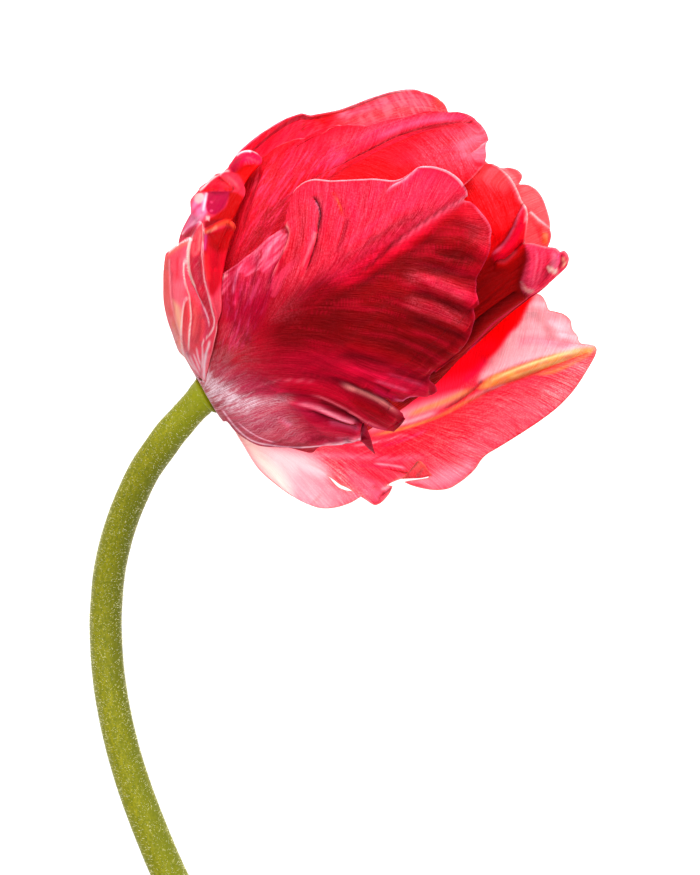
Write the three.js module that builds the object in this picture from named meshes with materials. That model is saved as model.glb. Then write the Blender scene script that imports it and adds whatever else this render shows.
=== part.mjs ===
// Parrot tulip, one cut flower lying on its side: a bowed round stem, three
// outer and three inner fringed petals, six stamens and a pistil.
// Millimetres, +Z up, the flower rests on z = 0.
import * as THREE from 'three';

// ---- driving dimensions ----------------------------------------------------
const UNIT = 0.24;              // mm in one pattern unit
const MID = [350, 437.5];       // pattern point above which the flower is centred
const LEVEL = 30;               // height at which a pattern unit is exactly UNIT, mm
const TAPER = 1000;             // length over which the pattern narrows to a point, mm
const BASE = [207.5, 394.5];    // where the petals leave the stem, in the pattern
const AX = [0.8660, -0.5];      // direction of the flower's axis in the pattern
const NX = [0.5, 0.8660];       // direction across the axis in the pattern
const AXIS_Z = 25.1;            // height of the axis at the base, mm
const AXIS_RISE = 0.10;         // rise of the axis per mm towards the mouth
const PETAL_T = 0.7;            // petal thickness, mm
const STEM_R = 4.0;             // stem radius halfway, mm
const ORIGIN = [-1.8906, -41.4702, 0.01]; // centre of the base of the whole flower, mm

// Half-widths of the closed flower along the axis. The first number is the
// square root of the distance from the base in pattern units.
const UPPER = [[0, 22], [0.5, 45], [1, 62], [1.5, 76], [2, 86], [3, 101], [4.2, 116], [5.9, 141], [7.2, 155],
  [8.1, 165], [9.1, 176], [9.6, 180], [10.4, 185], [11.3, 194], [12.3, 205], [14.1, 211], [14.9, 209],
  [16, 197], [17.1, 187], [18.1, 175], [18.6, 160], [19.5, 138], [20.5, 118]];
const LOWER = [[0, 22], [1, 36], [2, 46], [3, 58], [3.7, 68], [5, 84], [6.5, 100], [7.9, 111],
  [9.5, 125], [10.8, 138], [12.6, 141], [14.2, 134], [16, 126], [18, 116], [19.5, 106], [20.5, 98]];
const FRONT = [[0, 5.3], [1, 9], [2, 13], [3, 16.5], [4, 19.5], [6, 24.5], [8, 28.5], [10, 31.2],
  [12, 32.5], [14, 32.2], [16, 30], [18, 26], [19.5, 22], [20.5, 19]];
const BACK = [[0, 5.3], [1, 8], [2, 11.5], [3, 14.5], [4, 17.5], [6, 22], [8, 25.0], [10, 27.0],
  [12, 28.2], [14, 28.6], [16, 27.6], [18, 25], [19.5, 22], [20.5, 20]];

// ---- smooth curves -----------------------------------------------------------
function slopes(knots) {
  const n = knots.length, m = new Array(n);
  for (let i = 0; i < n; i++) {
    if (i === 0) m[i] = (knots[1][1] - knots[0][1]) / (knots[1][0] - knots[0][0]);
    else if (i === n - 1) m[i] = (knots[i][1] - knots[i - 1][1]) / (knots[i][0] - knots[i - 1][0]);
    else m[i] = (knots[i + 1][1] - knots[i - 1][1]) / (knots[i + 1][0] - knots[i - 1][0]);
  }
  return m;
}
function curve1(knots) {
  const m = slopes(knots), n = knots.length;
  return (x) => {
    if (x <= knots[0][0]) return knots[0][1] + m[0] * (x - knots[0][0]);
    if (x >= knots[n - 1][0]) return knots[n - 1][1] + m[n - 1] * (x - knots[n - 1][0]);
    let i = 0;
    while (x > knots[i + 1][0]) i++;
    const h = knots[i + 1][0] - knots[i][0], s = (x - knots[i][0]) / h;
    const s2 = s * s, s3 = s2 * s;
    return (2 * s3 - 3 * s2 + 1) * knots[i][1] + (s3 - 2 * s2 + s) * h * m[i]
      + (3 * s2 - 2 * s3) * knots[i + 1][1] + (s3 - s2) * h * m[i + 1];
  };
}
const upper = curve1(UPPER), lower = curve1(LOWER), front = curve1(FRONT), back = curve1(BACK);
const axisZ = (t) => AXIS_Z + AXIS_RISE * t * UNIT;

// ---- the flower's body -------------------------------------------------------
// q: square root of the distance along the axis; a: angle about the axis in
// degrees (0 faces up, 90 faces the lower side); off: distance outside the body, mm.
function body(q, a, off) {
  const c = Math.exp(-Math.max(q, 0) / 2.5), r = a * Math.PI / 180;
  const sn = Math.sin(r), cs = Math.cos(r), grow = off * (1 - 0.6 * c);
  const t = q * q - off / UNIT * c;
  const s = ((sn < 0 ? upper(q) : lower(q)) + grow / UNIT) * sn;
  const z = axisZ(t) + ((cs >= 0 ? front(q) : back(q)) + grow) * cs;
  return [BASE[0] + t * AX[0] + s * NX[0], BASE[1] + t * AX[1] + s * NX[1], z];
}
// The body point seen at pattern point x, y, on the upward or the downward side.
function seen(x, y, off, under) {
  const dx = x - BASE[0], dy = y - BASE[1];
  const t = dx * AX[0] + dy * AX[1], s = dx * NX[0] + dy * NX[1];
  let q = Math.sqrt(Math.max(t, 0)), c = 0;
  for (let i = 0; i < 20; i++) {
    c = Math.exp(-q / 2.5);
    q = 0.5 * q + 0.5 * Math.sqrt(Math.max(t + off / UNIT * c, 0));
  }
  const half = (s < 0 ? upper(q) : lower(q)) + off * (1 - 0.6 * c) / UNIT;
  let a = Math.asin(Math.max(-1, Math.min(1, s / half))) * 180 / Math.PI;
  if (under) a = -180 - a;
  return [q, a, off];
}
const U = (x, y, off = 0) => seen(x, y, off, false);     // on the upward side
const D = (x, y, off = 0) => seen(x, y, off, true);      // on the downward side
const B = (t, a, off = 0) => [Math.sqrt(Math.max(t, 0)), a, off];
function place(p) {
  const f = 1 - (p[2] - LEVEL) / TAPER;
  return [(p[0] - MID[0]) * UNIT * f - ORIGIN[0], -(p[1] - MID[1]) * UNIT * f - ORIGIN[1], p[2] - ORIGIN[2]];
}

// ---- closed shells -----------------------------------------------------------
function sampler(list, smooth, toSpace) {
  const p3 = list.map(toSpace), d = [0];
  for (let i = 1; i < list.length; i++) {
    d.push(d[i - 1] + Math.hypot(p3[i][0] - p3[i - 1][0], p3[i][1] - p3[i - 1][1], p3[i][2] - p3[i - 1][2]) + 1e-6);
  }
  const L = d[d.length - 1], at = d.map((x) => x / L);
  const cs = [0, 1, 2].map((k) => curve1(list.map((p, i) => [at[i], p[k]])));
  const lin = (x) => {
    let i = 0;
    while (i < at.length - 2 && x > at[i + 1]) i++;
    const s = (x - at[i]) / (at[i + 1] - at[i]);
    return [0, 1, 2].map((k) => list[i][k] + (list[i + 1][k] - list[i][k]) * s);
  };
  return { at, f: smooth ? (x) => cs.map((c) => c(x)) : lin };
}
// Height of the body's underside at a pattern point.
function belly(x, y) {
  const dx = x - BASE[0], dy = y - BASE[1];
  const t = Math.max(dx * AX[0] + dy * AX[1], 0), s = dx * NX[0] + dy * NX[1], q = Math.sqrt(t);
  const k = s / (s < 0 ? upper(q) : lower(q));
  return Math.abs(k) >= 1 ? 1e3 : axisZ(t) - back(q) * Math.sqrt(1 - k * k);
}

// A petal spans a patch between its base, its two side margins and its rim.
// The rim's lobes fade out towards the middle of the petal, and close above 1
// crowds the rows towards the base. hump(u, v) is added
// to the offset of a petal on the body, or to the height of an open one.
function petal(name, colour, o) {
  const toSpace = o.open ? place : (p) => place(body(p[0], p[1], p[2]));
  const left = sampler([o.base(0), ...o.left, o.rim[0]], true, toSpace);
  const right = sampler([o.base(1), ...o.right, o.rim[o.rim.length - 1]], true, toSpace);
  const rim = sampler(o.rim, false, toSpace);
  const vs = rim.at, nu = o.nu || 9, pts = [];
  const p00 = o.base(0), p10 = o.rim[0], p01 = o.base(1), p11 = o.rim[o.rim.length - 1];
  const soft = (v) => {
    const w = Math.min(0.09, v, 1 - v), sum = [0, 0, 0];
    for (let i = -8; i <= 8; i++) rim.f(Math.max(0, Math.min(1, v + w * i / 8))).forEach((x, k) => { sum[k] += x / 17; });
    return sum;
  };
  for (let i = 0; i <= nu; i++) {
    const u = (i / nu) ** (o.close || 1), row = [];
    for (const v of vs) {
      const L = left.f(u), R = right.f(u), Bq = o.base(v), S = soft(v);
      const w = Math.max(0, (u - 0.45) / 0.55) ** 2, T = rim.f(v).map((x, k) => S[k] + (x - S[k]) * w);
      const c = [0, 1, 2].map((k) => (1 - v) * L[k] + v * R[k] + (1 - u) * Bq[k] + u * T[k]
        - ((1 - u) * (1 - v) * p00[k] + (1 - u) * v * p01[k] + u * (1 - v) * p10[k] + u * v * p11[k]));
      if (o.hump) c[2] += o.hump(u, v, c);
      if (o.open) c[2] = Math.max(0.36, Math.min(c[2], belly(c[0], c[1]) - 0.9 * Math.min(1, u * 8)));
      row.push(new THREE.Vector3(...toSpace(c)));
    }
    pts.push(row);
  }
  return mesh(name, colour, shell(pts, o.thick || PETAL_T, o.flip));
}
function shell(pts, thick, flip) {
  const nu = pts.length, nv = pts[0].length, nor = [];
  for (let i = 0; i < nu; i++) {
    nor.push([]);
    for (let j = 0; j < nv; j++) {
      const a = pts[Math.min(i + 1, nu - 1)][j].clone().sub(pts[Math.max(i - 1, 0)][j]);
      const b = pts[i][Math.min(j + 1, nv - 1)].clone().sub(pts[i][Math.max(j - 1, 0)]);
      nor[i].push(a.cross(b).normalize().multiplyScalar(flip ? -0.5 : 0.5));
    }
  }
  const pos = [], idx = [], id = (i, j, s) => (s * nu + i) * nv + j;
  for (let s = 0; s < 2; s++) for (let i = 0; i < nu; i++) for (let j = 0; j < nv; j++) {
    const p = pts[i][j].clone().addScaledVector(nor[i][j], s ? -thick : thick);
    pos.push(p.x, p.y, p.z);
  }
  const quad = (a, b, c, d) => {
    if (flip) idx.push(a, c, b, a, d, c); else idx.push(a, b, c, a, c, d);
  };
  for (let i = 0; i < nu - 1; i++) for (let j = 0; j < nv - 1; j++) {
    quad(id(i, j, 0), id(i + 1, j, 0), id(i + 1, j + 1, 0), id(i, j + 1, 0));
    quad(id(i, j, 1), id(i, j + 1, 1), id(i + 1, j + 1, 1), id(i + 1, j, 1));
  }
  for (let i = 0; i < nu - 1; i++) {
    quad(id(i, 0, 0), id(i, 0, 1), id(i + 1, 0, 1), id(i + 1, 0, 0));
    quad(id(i, nv - 1, 0), id(i + 1, nv - 1, 0), id(i + 1, nv - 1, 1), id(i, nv - 1, 1));
  }
  for (let j = 0; j < nv - 1; j++) {
    quad(id(0, j, 0), id(0, j + 1, 0), id(0, j + 1, 1), id(0, j, 1));
    quad(id(nu - 1, j, 0), id(nu - 1, j, 1), id(nu - 1, j + 1, 1), id(nu - 1, j + 1, 0));
  }
  return closed(pos, idx);
}
// A closed round body along a path: rings is [[x, y, z, rx, ry, turn], ...] in mm.
function tube(rings, sides, up = [0, 0, 1]) {
  const pos = [], idx = [], n = rings.length;
  const P = rings.map((r) => new THREE.Vector3(r[0], r[1], r[2]));
  for (let i = 0; i < n; i++) {
    const d = P[Math.min(i + 1, n - 1)].clone().sub(P[Math.max(i - 1, 0)]).normalize();
    const w = new THREE.Vector3(...up).cross(d).normalize(), e = d.clone().cross(w).normalize();
    for (let k = 0; k < sides; k++) {
      const g = (k / sides) * 2 * Math.PI + (rings[i][5] || 0);
      const p = P[i].clone().addScaledVector(w, Math.cos(g) * rings[i][3])
        .addScaledVector(e, Math.sin(g) * (rings[i][4] ?? rings[i][3]));
      pos.push(p.x, p.y, p.z);
    }
  }
  for (let i = 0; i < n - 1; i++) for (let k = 0; k < sides; k++) {
    const a = i * sides + k, b = i * sides + (k + 1) % sides;
    idx.push(a, b, b + sides, a, b + sides, a + sides);
  }
  const c0 = pos.length / 3;
  pos.push(P[0].x, P[0].y, P[0].z, P[n - 1].x, P[n - 1].y, P[n - 1].z);
  for (let k = 0; k < sides; k++) {
    idx.push(c0, (k + 1) % sides, k);
    idx.push(c0 + 1, (n - 1) * sides + k, (n - 1) * sides + (k + 1) % sides);
  }
  return closed(pos, idx);
}
function closed(pos, idx) {
  const g = new THREE.BufferGeometry();
  g.setAttribute('position', new THREE.Float32BufferAttribute(pos, 3));
  g.setIndex(idx);
  g.computeVertexNormals();
  return g;
}
const flower = new THREE.Group();
flower.name = 'parrot_tulip';
function mesh(name, colour, geometry) {
  const m = new THREE.Mesh(geometry, new THREE.MeshStandardMaterial({ color: colour[0], roughness: colour[1], metalness: 0 }));
  m.name = name;
  flower.add(m);
  return m;
}
const RED = [0xb4122f, 0.55], PINK = [0xee5f70, 0.55], GREEN = [0x7f8a1d, 0.6];
const STRAW = [0xe8d98a, 0.6], DARK = [0x2b1a26, 0.8], PALE = [0xcfd48a, 0.55];

// ---- petals --------------------------------------------------------------------
const arc = (a0, a1, off) => (v) => [0, a0 + (a1 - a0) * v, off];
const rib = (v, at, width, deep) => -deep * Math.exp(-(((v - at) / width) ** 2));

petal('outer_petal_front', RED, {
  base: arc(-30, 74, 0),
  left: [U(206, 368), U(214, 345), U(216, 318, 0.2)],
  rim: [U(210, 287, 0), U(236, 265, 0.2), U(262, 243, 0.5), U(286, 225, 1.1), U(291, 212, 0.5), U(292, 194, 0.7),
    U(306, 181, 0.9), U(342, 180, 0.9), U(378, 179, 0.8), U(400, 179, 0.7), U(418, 167, 1), U(436, 167, 1),
    U(454, 174, 0.8), U(467, 192, 0.5), U(459, 203, 0), U(474, 205, 0.3), U(489, 223, 0.3), U(491, 242, 0.2),
    U(482, 270, 0.2), U(477, 285, 0.3), U(478, 303, 0.5), U(473, 330, 0.2), U(459, 359, 0.2), U(438, 376, 0),
    U(438, 393, 0.2), U(411, 396, 0), U(384, 400, 0), U(405, 419, 0.2), U(391, 429, 0.2), U(352, 416, 0),
    U(366, 430, 0.2), U(376, 453, 0.3), U(360, 441, 0.2), U(325, 445, 0.2), U(312, 451, 0.3), U(275, 446, 0.1)],
  right: [U(226, 421), U(240, 435)],
  hump: (u, v) => rib(v, 0.44, 0.03, 0.3) * u,
});

petal('outer_petal_left', PINK, {
  base: arc(-36, -184, 0),
  left: [U(203, 366, 0.9), U(210, 346, 1.5), U(213, 322, 1.7), U(208, 292, 1.7), U(203, 258, 1.6)],
  rim: [U(202, 224, 1.4), U(214, 231, 0.8), U(234, 226, 0.6), U(226, 208, 0.2), U(244, 194, 1), U(237, 176, 0.6),
    U(248, 167, 0.4), U(259, 160, 0.6), U(246, 152, 0.4), U(238, 154, 0.2), U(223, 171, 0), U(208, 182, -0.2),
    B(112, -96, -0.2), B(124, -108, 0), B(116, -118, 0), B(136, -129, 0.2), B(126, -141, 0), B(112, -152, 0.2),
    B(86, -161, 0), B(72, -170, 0)],
  right: [B(20, -180), B(45, -175)],
  flip: true,
});

const ring = (a) => body(0, a, 0);
petal('outer_petal_open', PINK, {
  open: true,
  close: 1.6,
  nu: 11,
  base: (v) => ring(80 + 86 * v),
  left: [[229, 422, 23.5], [241, 440, 20.5], [260, 469, 17]],
  rim: [[284, 490, 15], [304, 502, 13.5], [326, 509, 13], [348, 506, 13], [361, 495, 12.5], [376, 505, 12],
    [388, 497, 11], [391, 484, 11], [412, 485, 11.5], [435, 490, 12], [453, 487, 12], [470, 474, 11.5],
    [483, 459, 11], [508, 444, 11], [534, 426, 11], [560, 403, 11.5], [582, 377, 12.5], [597, 354, 14],
    [597, 345, 14], [579, 343, 13], [572, 324, 13], [553, 313, 12.5], [545, 301, 12], [538, 294, 11.5], [524, 290, 10.5]],
  right: [[238, 386, 14], [290, 358, 5], [360, 324, 1.6], [430, 298, 3.5], [485, 289, 7]],
  hump: (u, v) => -9 * Math.sin(Math.PI * v) * Math.sin(Math.PI * u ** 0.8),
});

petal('inner_petal_top', RED, {
  base: arc(-100, 6, -2.6),
  left: [U(203, 330, -2.6), U(212, 272, -2.6), U(226, 216, -2.6), U(244, 178, -2.4)],
  rim: [U(260, 158, -2), U(286, 144, -2), U(320, 135, -2.2), U(346, 126, -2.2), U(373, 126, -2.2), U(400, 119, -2.2),
    U(425, 116, -2.2), U(449, 113.5, -2.3), U(466, 114, -2.4), U(478, 121, -2.6), U(488, 133, -2.6), U(488, 142, -2.6),
    U(485, 155, -2.8), U(483, 166, -3), U(466, 184, -2.8), B(312, -18, -2.6), B(270, -10, -2.6)],
  right: [B(30, 2, -2.6), B(120, -4, -2.6), B(200, -8, -2.6)],
  hump: (u, v) => rib(v, 0.58, 0.03, 0.3) * u,
  nu: 10,
});

petal('inner_petal_back', PINK, {
  base: arc(-114, -232, -2.6),
  left: [B(30, -104, -2.6), B(80, -96, -2.6), B(125, -91, -2.6)],
  rim: [D(243, 150, -2.6), D(262, 133, -2.6), D(281, 123, -2.6), D(300, 113, -2.6), D(313, 114, -2.6), D(329, 120, -2.6),
    D(341, 110, -2.6), D(373, 98, -2.6), D(410, 91, -2.6), D(436, 97, -2.6), D(447, 110, -2.6), D(458, 126, -2.8),
    D(474, 148, -3), D(490, 165, -3), D(504, 168, -3), D(518, 171, -3), D(521, 182, -3), D(535, 188, -3), D(546, 208, -3), D(549, 228, -3),
    D(549, 246, -3), B(352, -212, -3), B(300, -211, -3)],
  right: [B(30, -226, -2.6), B(100, -208, -2.6), B(200, -204, -2.6)],
  flip: true,
  nu: 10,
});

petal('inner_petal_right', RED, {
  base: arc(-38, 110, -4.8),
  left: [B(40, -36, -4.8), B(120, -32, -4.8), B(220, -28, -4.9), B(300, -28, -5)],
  rim: [U(464, 167, -5), U(477, 164.5, -5), U(492, 164.5, -5), U(506, 174, -5), U(514, 184, -5), U(521, 199, -5),
    U(527, 212, -5.2), U(526, 228, -6.2), U(524, 244, -6), U(547, 246, -5), U(563, 250, -4), U(567, 257, -4),
    U(555, 274, -5.2), U(535, 291, -6), U(515, 305, -6), U(491, 322, -6)],
  right: [B(25, 100, -4.8), B(80, 84, -5), U(376, 425, -5), U(408, 404, -5.4), U(438, 377, -5.8), U(465, 346, -6)],
  hump: (u, v) => -1.2 * u * Math.max(0, Math.min(1, (v - 0.5) / 0.06)) * Math.max(0, Math.min(1, (0.95 - v) / 0.2)),
  nu: 10,
});

// ---- stem with the receptacle that carries the petals ------------------------------
// Pattern x, y, height and radius in mm, from the cut end to the flower.
const STEM = [[305, 1104, 4.35, 4.3], [289, 1080, 4.35, 4.3], [267, 1048, 4.35, 4.3], [235, 997, 4.35, 4.3],
  [207, 948, 4.35, 4.3], [182, 899, 4.3, 4.25], [169.5, 875, 4.3, 4.25], [148.5, 825, 4.25, 4.2],
  [130.5, 775, 4.2, 4.12], [117, 725, 4.12, 4.05], [108.5, 675, 4.08, STEM_R], [105.5, 625, 4.3, 3.95],
  [106.5, 600, 5.0, 3.92], [108.7, 575, 6.4, 3.9], [113.5, 550, 8.5, 3.88], [120.5, 525, 11.2, 3.85],
  [130, 500, 14.0, 3.8], [143, 472, 17.4, 3.75], [160, 444, 20.8, 3.65], [178, 423, 23.2, 3.55],
  [189, 412, 24.5, 3.6]];
const along = (mm) => { const t = mm / UNIT; return [BASE[0] + t * AX[0], BASE[1] + t * AX[1], axisZ(t)]; };
const TOP = [[-3.0, 3.9], [-1.6, 4.5], [-0.6, 4.95], [-0.45, 4.5], [0.6, 4.35], [2.4, 3.5], [3.9, 2.9], [5.0, 2.3]];
{
  const rings = STEM.map((p) => [...place(p), p[3]]);
  for (const [mm, r] of TOP) rings.push([...place(along(mm)), r]);
  mesh('stem', GREEN, tube(rings, 14));
}

// ---- pistil and stamens ---------------------------------------------------------
{
  const o = [[5.5, 1.7], [8, 2.8], [12, 3.5], [18, 3.7], [24, 3.3], [29, 2.6], [31, 2.4]];
  mesh('ovary', PALE, tube(o.map(([mm, r]) => [...place(along(mm)), r]), 12));
  const s = [[31.35, 2.3], [32.5, 3.6], [34, 4.3], [35.2, 3.6], [35.9, 1.8]];
  mesh('stigma', STRAW, tube(s.map(([mm, r]) => [...place(along(mm)), r]), 12));
}
// Directions square to the axis, for what stands round the pistil.
const AV = new THREE.Vector3(AX[0], -AX[1], AXIS_RISE).normalize();
const SV = new THREE.Vector3(NX[0], -NX[1], 0).normalize();
const TV = new THREE.Vector3().crossVectors(SV, AV).normalize();
for (let i = 0; i < 6; i++) {
  const a = (i * 60 + 18) * Math.PI / 180;
  const out = SV.clone().multiplyScalar(Math.sin(a)).addScaledVector(TV, Math.cos(a));
  const at = (mm, r) => {
    const c = place(along(mm));
    return [c[0] + out.x * r, c[1] + out.y * r, c[2] + out.z * r];
  };
  const n = i + 1;
  mesh(`filament_${n}`, DARK, tube([[...at(5.8, 2.7), 0.65], [...at(10, 4.3), 0.75], [...at(16, 5.8), 0.7],
    [...at(22, 6.9), 0.5]], 6, [out.x, out.y, out.z]));
  mesh(`anther_${n}`, DARK, tube([[...at(22.4, 7.05), 0.7, 0.55], [...at(24, 7.25), 1.5, 1.05], [...at(30, 7.9), 1.55, 1.1],
    [...at(35, 8.4), 1.25, 0.9], [...at(36.6, 8.5), 0.5, 0.4]], 8, [out.x, out.y, out.z]));
}

export default flower;
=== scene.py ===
"""Parrot tulip, one cut flower lying on its side, seen from straight above."""
import math

import bpy
import numpy as np
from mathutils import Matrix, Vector


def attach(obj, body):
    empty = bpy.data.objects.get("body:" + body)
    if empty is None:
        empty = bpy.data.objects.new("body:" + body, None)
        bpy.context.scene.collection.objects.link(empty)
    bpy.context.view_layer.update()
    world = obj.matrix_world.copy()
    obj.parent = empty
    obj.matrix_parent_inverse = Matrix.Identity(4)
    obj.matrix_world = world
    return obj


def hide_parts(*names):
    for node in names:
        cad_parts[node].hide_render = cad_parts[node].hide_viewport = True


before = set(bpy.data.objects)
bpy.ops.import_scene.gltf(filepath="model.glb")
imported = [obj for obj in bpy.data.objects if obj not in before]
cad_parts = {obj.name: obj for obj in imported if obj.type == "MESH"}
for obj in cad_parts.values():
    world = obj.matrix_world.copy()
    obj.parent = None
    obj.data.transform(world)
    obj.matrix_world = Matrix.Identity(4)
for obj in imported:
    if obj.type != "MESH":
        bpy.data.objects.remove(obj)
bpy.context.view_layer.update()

# ---- the same layout as the solids: pattern units, then millimetres ------------
UNIT, MID, LEVEL, TAPER = 0.24, (350.0, 437.5), 30.0, 1000.0
BASE, AX, NX = (207.5, 394.5), (0.8660, -0.5), (0.5, 0.8660)
AXIS_Z, AXIS_RISE = 25.1, 0.10
ORIGIN = (-1.8906, -41.4702, 0.01)
UPPER = [(0, 22), (0.5, 45), (1, 62), (1.5, 76), (2, 86), (3, 101), (4.2, 116), (5.9, 141), (7.2, 155),
         (8.1, 165), (9.1, 176), (9.6, 180), (10.4, 185), (11.3, 194), (12.3, 205), (14.1, 211), (14.9, 209),
         (16, 197), (17.1, 187), (18.1, 175), (18.6, 160), (19.5, 138), (20.5, 118)]
LOWER = [(0, 22), (1, 36), (2, 46), (3, 58), (3.7, 68), (5, 84), (6.5, 100), (7.9, 111),
         (9.5, 125), (10.8, 138), (12.6, 141), (14.2, 134), (16, 126), (18, 116), (19.5, 106), (20.5, 98)]
FRONT = [(0, 5.3), (1, 9), (2, 13), (3, 16.5), (4, 19.5), (6, 24.5), (8, 28.5), (10, 31.2),
         (12, 32.5), (14, 32.2), (16, 30), (18, 26), (19.5, 22), (20.5, 19)]
BACK = [(0, 5.3), (1, 8), (2, 11.5), (3, 14.5), (4, 17.5), (6, 22), (8, 25.0), (10, 27.0),
        (12, 28.2), (14, 28.6), (16, 27.6), (18, 25), (19.5, 22), (20.5, 20)]


# ---- smooth curves ---------------------------------------------------------------
def hermite(xs, ys):
    """A smooth curve through points, for arrays; straight beyond both ends."""
    xs, ys = np.asarray(xs, float), np.asarray(ys, float)
    m = np.empty_like(ys)
    m[1:-1] = (ys[2:] - ys[:-2]) / (xs[2:] - xs[:-2])[(...,) + (None,) * (ys.ndim - 1)]
    m[0] = (ys[1] - ys[0]) / (xs[1] - xs[0])
    m[-1] = (ys[-1] - ys[-2]) / (xs[-1] - xs[-2])

    def f(x):
        x = np.asarray(x, float)
        i = np.clip(np.searchsorted(xs, x, side="right") - 1, 0, len(xs) - 2)
        h = xs[i + 1] - xs[i]
        s = np.clip((x - xs[i]) / h, 0, 1)
        e = (...,) + (None,) * (ys.ndim - 1)
        s, h = s[e], h[e]
        s2, s3 = s * s, s * s * s
        r = (2 * s3 - 3 * s2 + 1) * ys[i] + (s3 - 2 * s2 + s) * h * m[i] \
            + (3 * s2 - 2 * s3) * ys[i + 1] + (s3 - s2) * h * m[i + 1]
        over = np.maximum(x - xs[-1], 0)[e] * m[-1] + np.minimum(x - xs[0], 0)[e] * m[0]
        return r + over

    return f


def knots(k):
    return hermite([p[0] for p in k], [p[1] for p in k])


upper, lower, front, back = knots(UPPER), knots(LOWER), knots(FRONT), knots(BACK)


def axis_z(t):
    return AXIS_Z + AXIS_RISE * t * UNIT


def body(p):
    """(q, angle, offset) to a pattern point and its height."""
    q, a, off = p[..., 0], np.radians(p[..., 1]), p[..., 2]
    c = np.exp(-np.maximum(q, 0) / 2.5)
    sn, cs, grow = np.sin(a), np.cos(a), off * (1 - 0.6 * c)
    t = q * q - off / UNIT * c
    s = (np.where(sn < 0, upper(q), lower(q)) + grow / UNIT) * sn
    z = axis_z(t) + (np.where(cs >= 0, front(q), back(q)) + grow) * cs
    return np.stack([BASE[0] + t * AX[0] + s * NX[0], BASE[1] + t * AX[1] + s * NX[1], z], -1)


def seen(x, y, off=0.0, under=False):
    dx, dy = x - BASE[0], y - BASE[1]
    t, s = dx * AX[0] + dy * AX[1], dx * NX[0] + dy * NX[1]
    q = math.sqrt(max(t, 0))
    for _ in range(20):
        c = math.exp(-q / 2.5)
        q = 0.5 * q + 0.5 * math.sqrt(max(t + off / UNIT * c, 0))
    half = float(upper(q) if s < 0 else lower(q)) + off * (1 - 0.6 * c) / UNIT
    a = math.degrees(math.asin(max(-1, min(1, s / half))))
    return (q, -180 - a if under else a, off)


def U(x, y, off=0.0):
    return seen(x, y, off)


def C(x, y, off=0.0):          # a corner of the outline
    return seen(x, y, off) + (1,)


def D(x, y, off=0.0):
    return seen(x, y, off, True)


def DC(x, y, off=0.0):
    return seen(x, y, off, True) + (1,)


def B(t, a, off=0.0):
    return (math.sqrt(max(t, 0)), a, off)


def BC(t, a, off=0.0):
    return (math.sqrt(max(t, 0)), a, off, 1)


def place(p):
    """Pattern point and height to metres in the row frame."""
    f = 1 - (p[..., 2] - LEVEL) / TAPER
    return np.stack([(p[..., 0] - MID[0]) * UNIT * f - ORIGIN[0],
                     -(p[..., 1] - MID[1]) * UNIT * f - ORIGIN[1], p[..., 2] - ORIGIN[2]], -1) * 0.001


def belly(x, y):
    dx, dy = x - BASE[0], y - BASE[1]
    t, s = np.maximum(dx * AX[0] + dy * AX[1], 0), dx * NX[0] + dy * NX[1]
    q = np.sqrt(t)
    k = s / np.where(s < 0, upper(q), lower(q))
    return np.where(np.abs(k) >= 0.999, 1e3, axis_z(t) - back(q) * np.sqrt(np.clip(1 - k * k, 0, 1)))


def smooth(a, b, x):
    s = np.clip((x - a) / (b - a), 0, 1)
    return s * s * (3 - 2 * s)


def bell(x, at, w):
    return np.exp(-(((x - at) / w) ** 2))


# ---- noise that is the same every run ----------------------------------------------
def lattice(seed, n=64):
    return np.random.default_rng(seed).random((n, n))


def value_noise(x, y, seed):
    """Smooth noise in 0..1, one cell per unit."""
    g = lattice(seed)
    n = g.shape[0]
    xi, yi = np.floor(x).astype(int), np.floor(y).astype(int)
    fx, fy = x - xi, y - yi
    fx, fy = fx * fx * (3 - 2 * fx), fy * fy * (3 - 2 * fy)
    a, b = g[xi % n, yi % n], g[(xi + 1) % n, yi % n]
    c, d = g[xi % n, (yi + 1) % n], g[(xi + 1) % n, (yi + 1) % n]
    return (a * (1 - fx) + b * fx) * (1 - fy) + (c * (1 - fx) + d * fx) * fy


# ---- patches -------------------------------------------------------------------------
def chord(p):
    d = np.linalg.norm(np.diff(p, axis=0), axis=1)
    c = np.concatenate([[0], np.cumsum(d + 1e-9)])
    return c / c[-1]


def side_curve(pts, to):
    p = np.array([q[:3] for q in pts], float)
    return hermite(chord(to(p)), p)


class Rim:
    """The outline of a petal's free edge: smooth between the points marked as corners."""

    def __init__(self, pts, to, even):
        p = np.array([q[:3] for q in pts], float)
        cut = [0] + [i for i in range(1, len(pts) - 1) if len(pts[i]) > 3] + [len(pts) - 1]
        out = []
        for a, b in zip(cut[:-1], cut[1:]):
            seg = p[a:b + 1]
            if len(seg) == 2:
                seg = np.array([seg[0], (seg[0] + seg[1]) / 2, seg[1]])
            n = max(8, int(np.linalg.norm(np.diff(to(seg), axis=0), axis=1).sum() / 0.0001))
            out.append(hermite(chord(to(seg)), seg)(np.linspace(0, 1, n))[(0 if a == 0 else 1):])
        self.p = np.concatenate(out)
        n = len(self.p)
        k, w = np.arange(n), max(3, int(n * even))
        soft = self.p
        for _ in range(3):
            cs = np.concatenate([np.zeros((1, 3)), np.cumsum(soft, 0)])
            r = np.minimum(np.minimum(k, n - 1 - k), w)
            soft = (cs[k + r + 1] - cs[k - r]) / (2 * r + 1)[:, None]
        self.s = soft
        self.v = chord(to(soft))

    def at(self, v):
        return np.stack([np.interp(v, self.v, self.p[:, k]) for k in range(3)], -1)

    def soft(self, v):
        return np.stack([np.interp(v, self.v, self.s[:, k]) for k in range(3)], -1)


def resample(pts, step=3.0):
    p = np.asarray(pts, float)
    if len(p) < 3:
        return p
    n = max(len(p), int(np.linalg.norm(np.diff(p, axis=0), axis=1).sum() / step))
    return hermite(chord(p), p)(np.linspace(0, 1, n))


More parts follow.
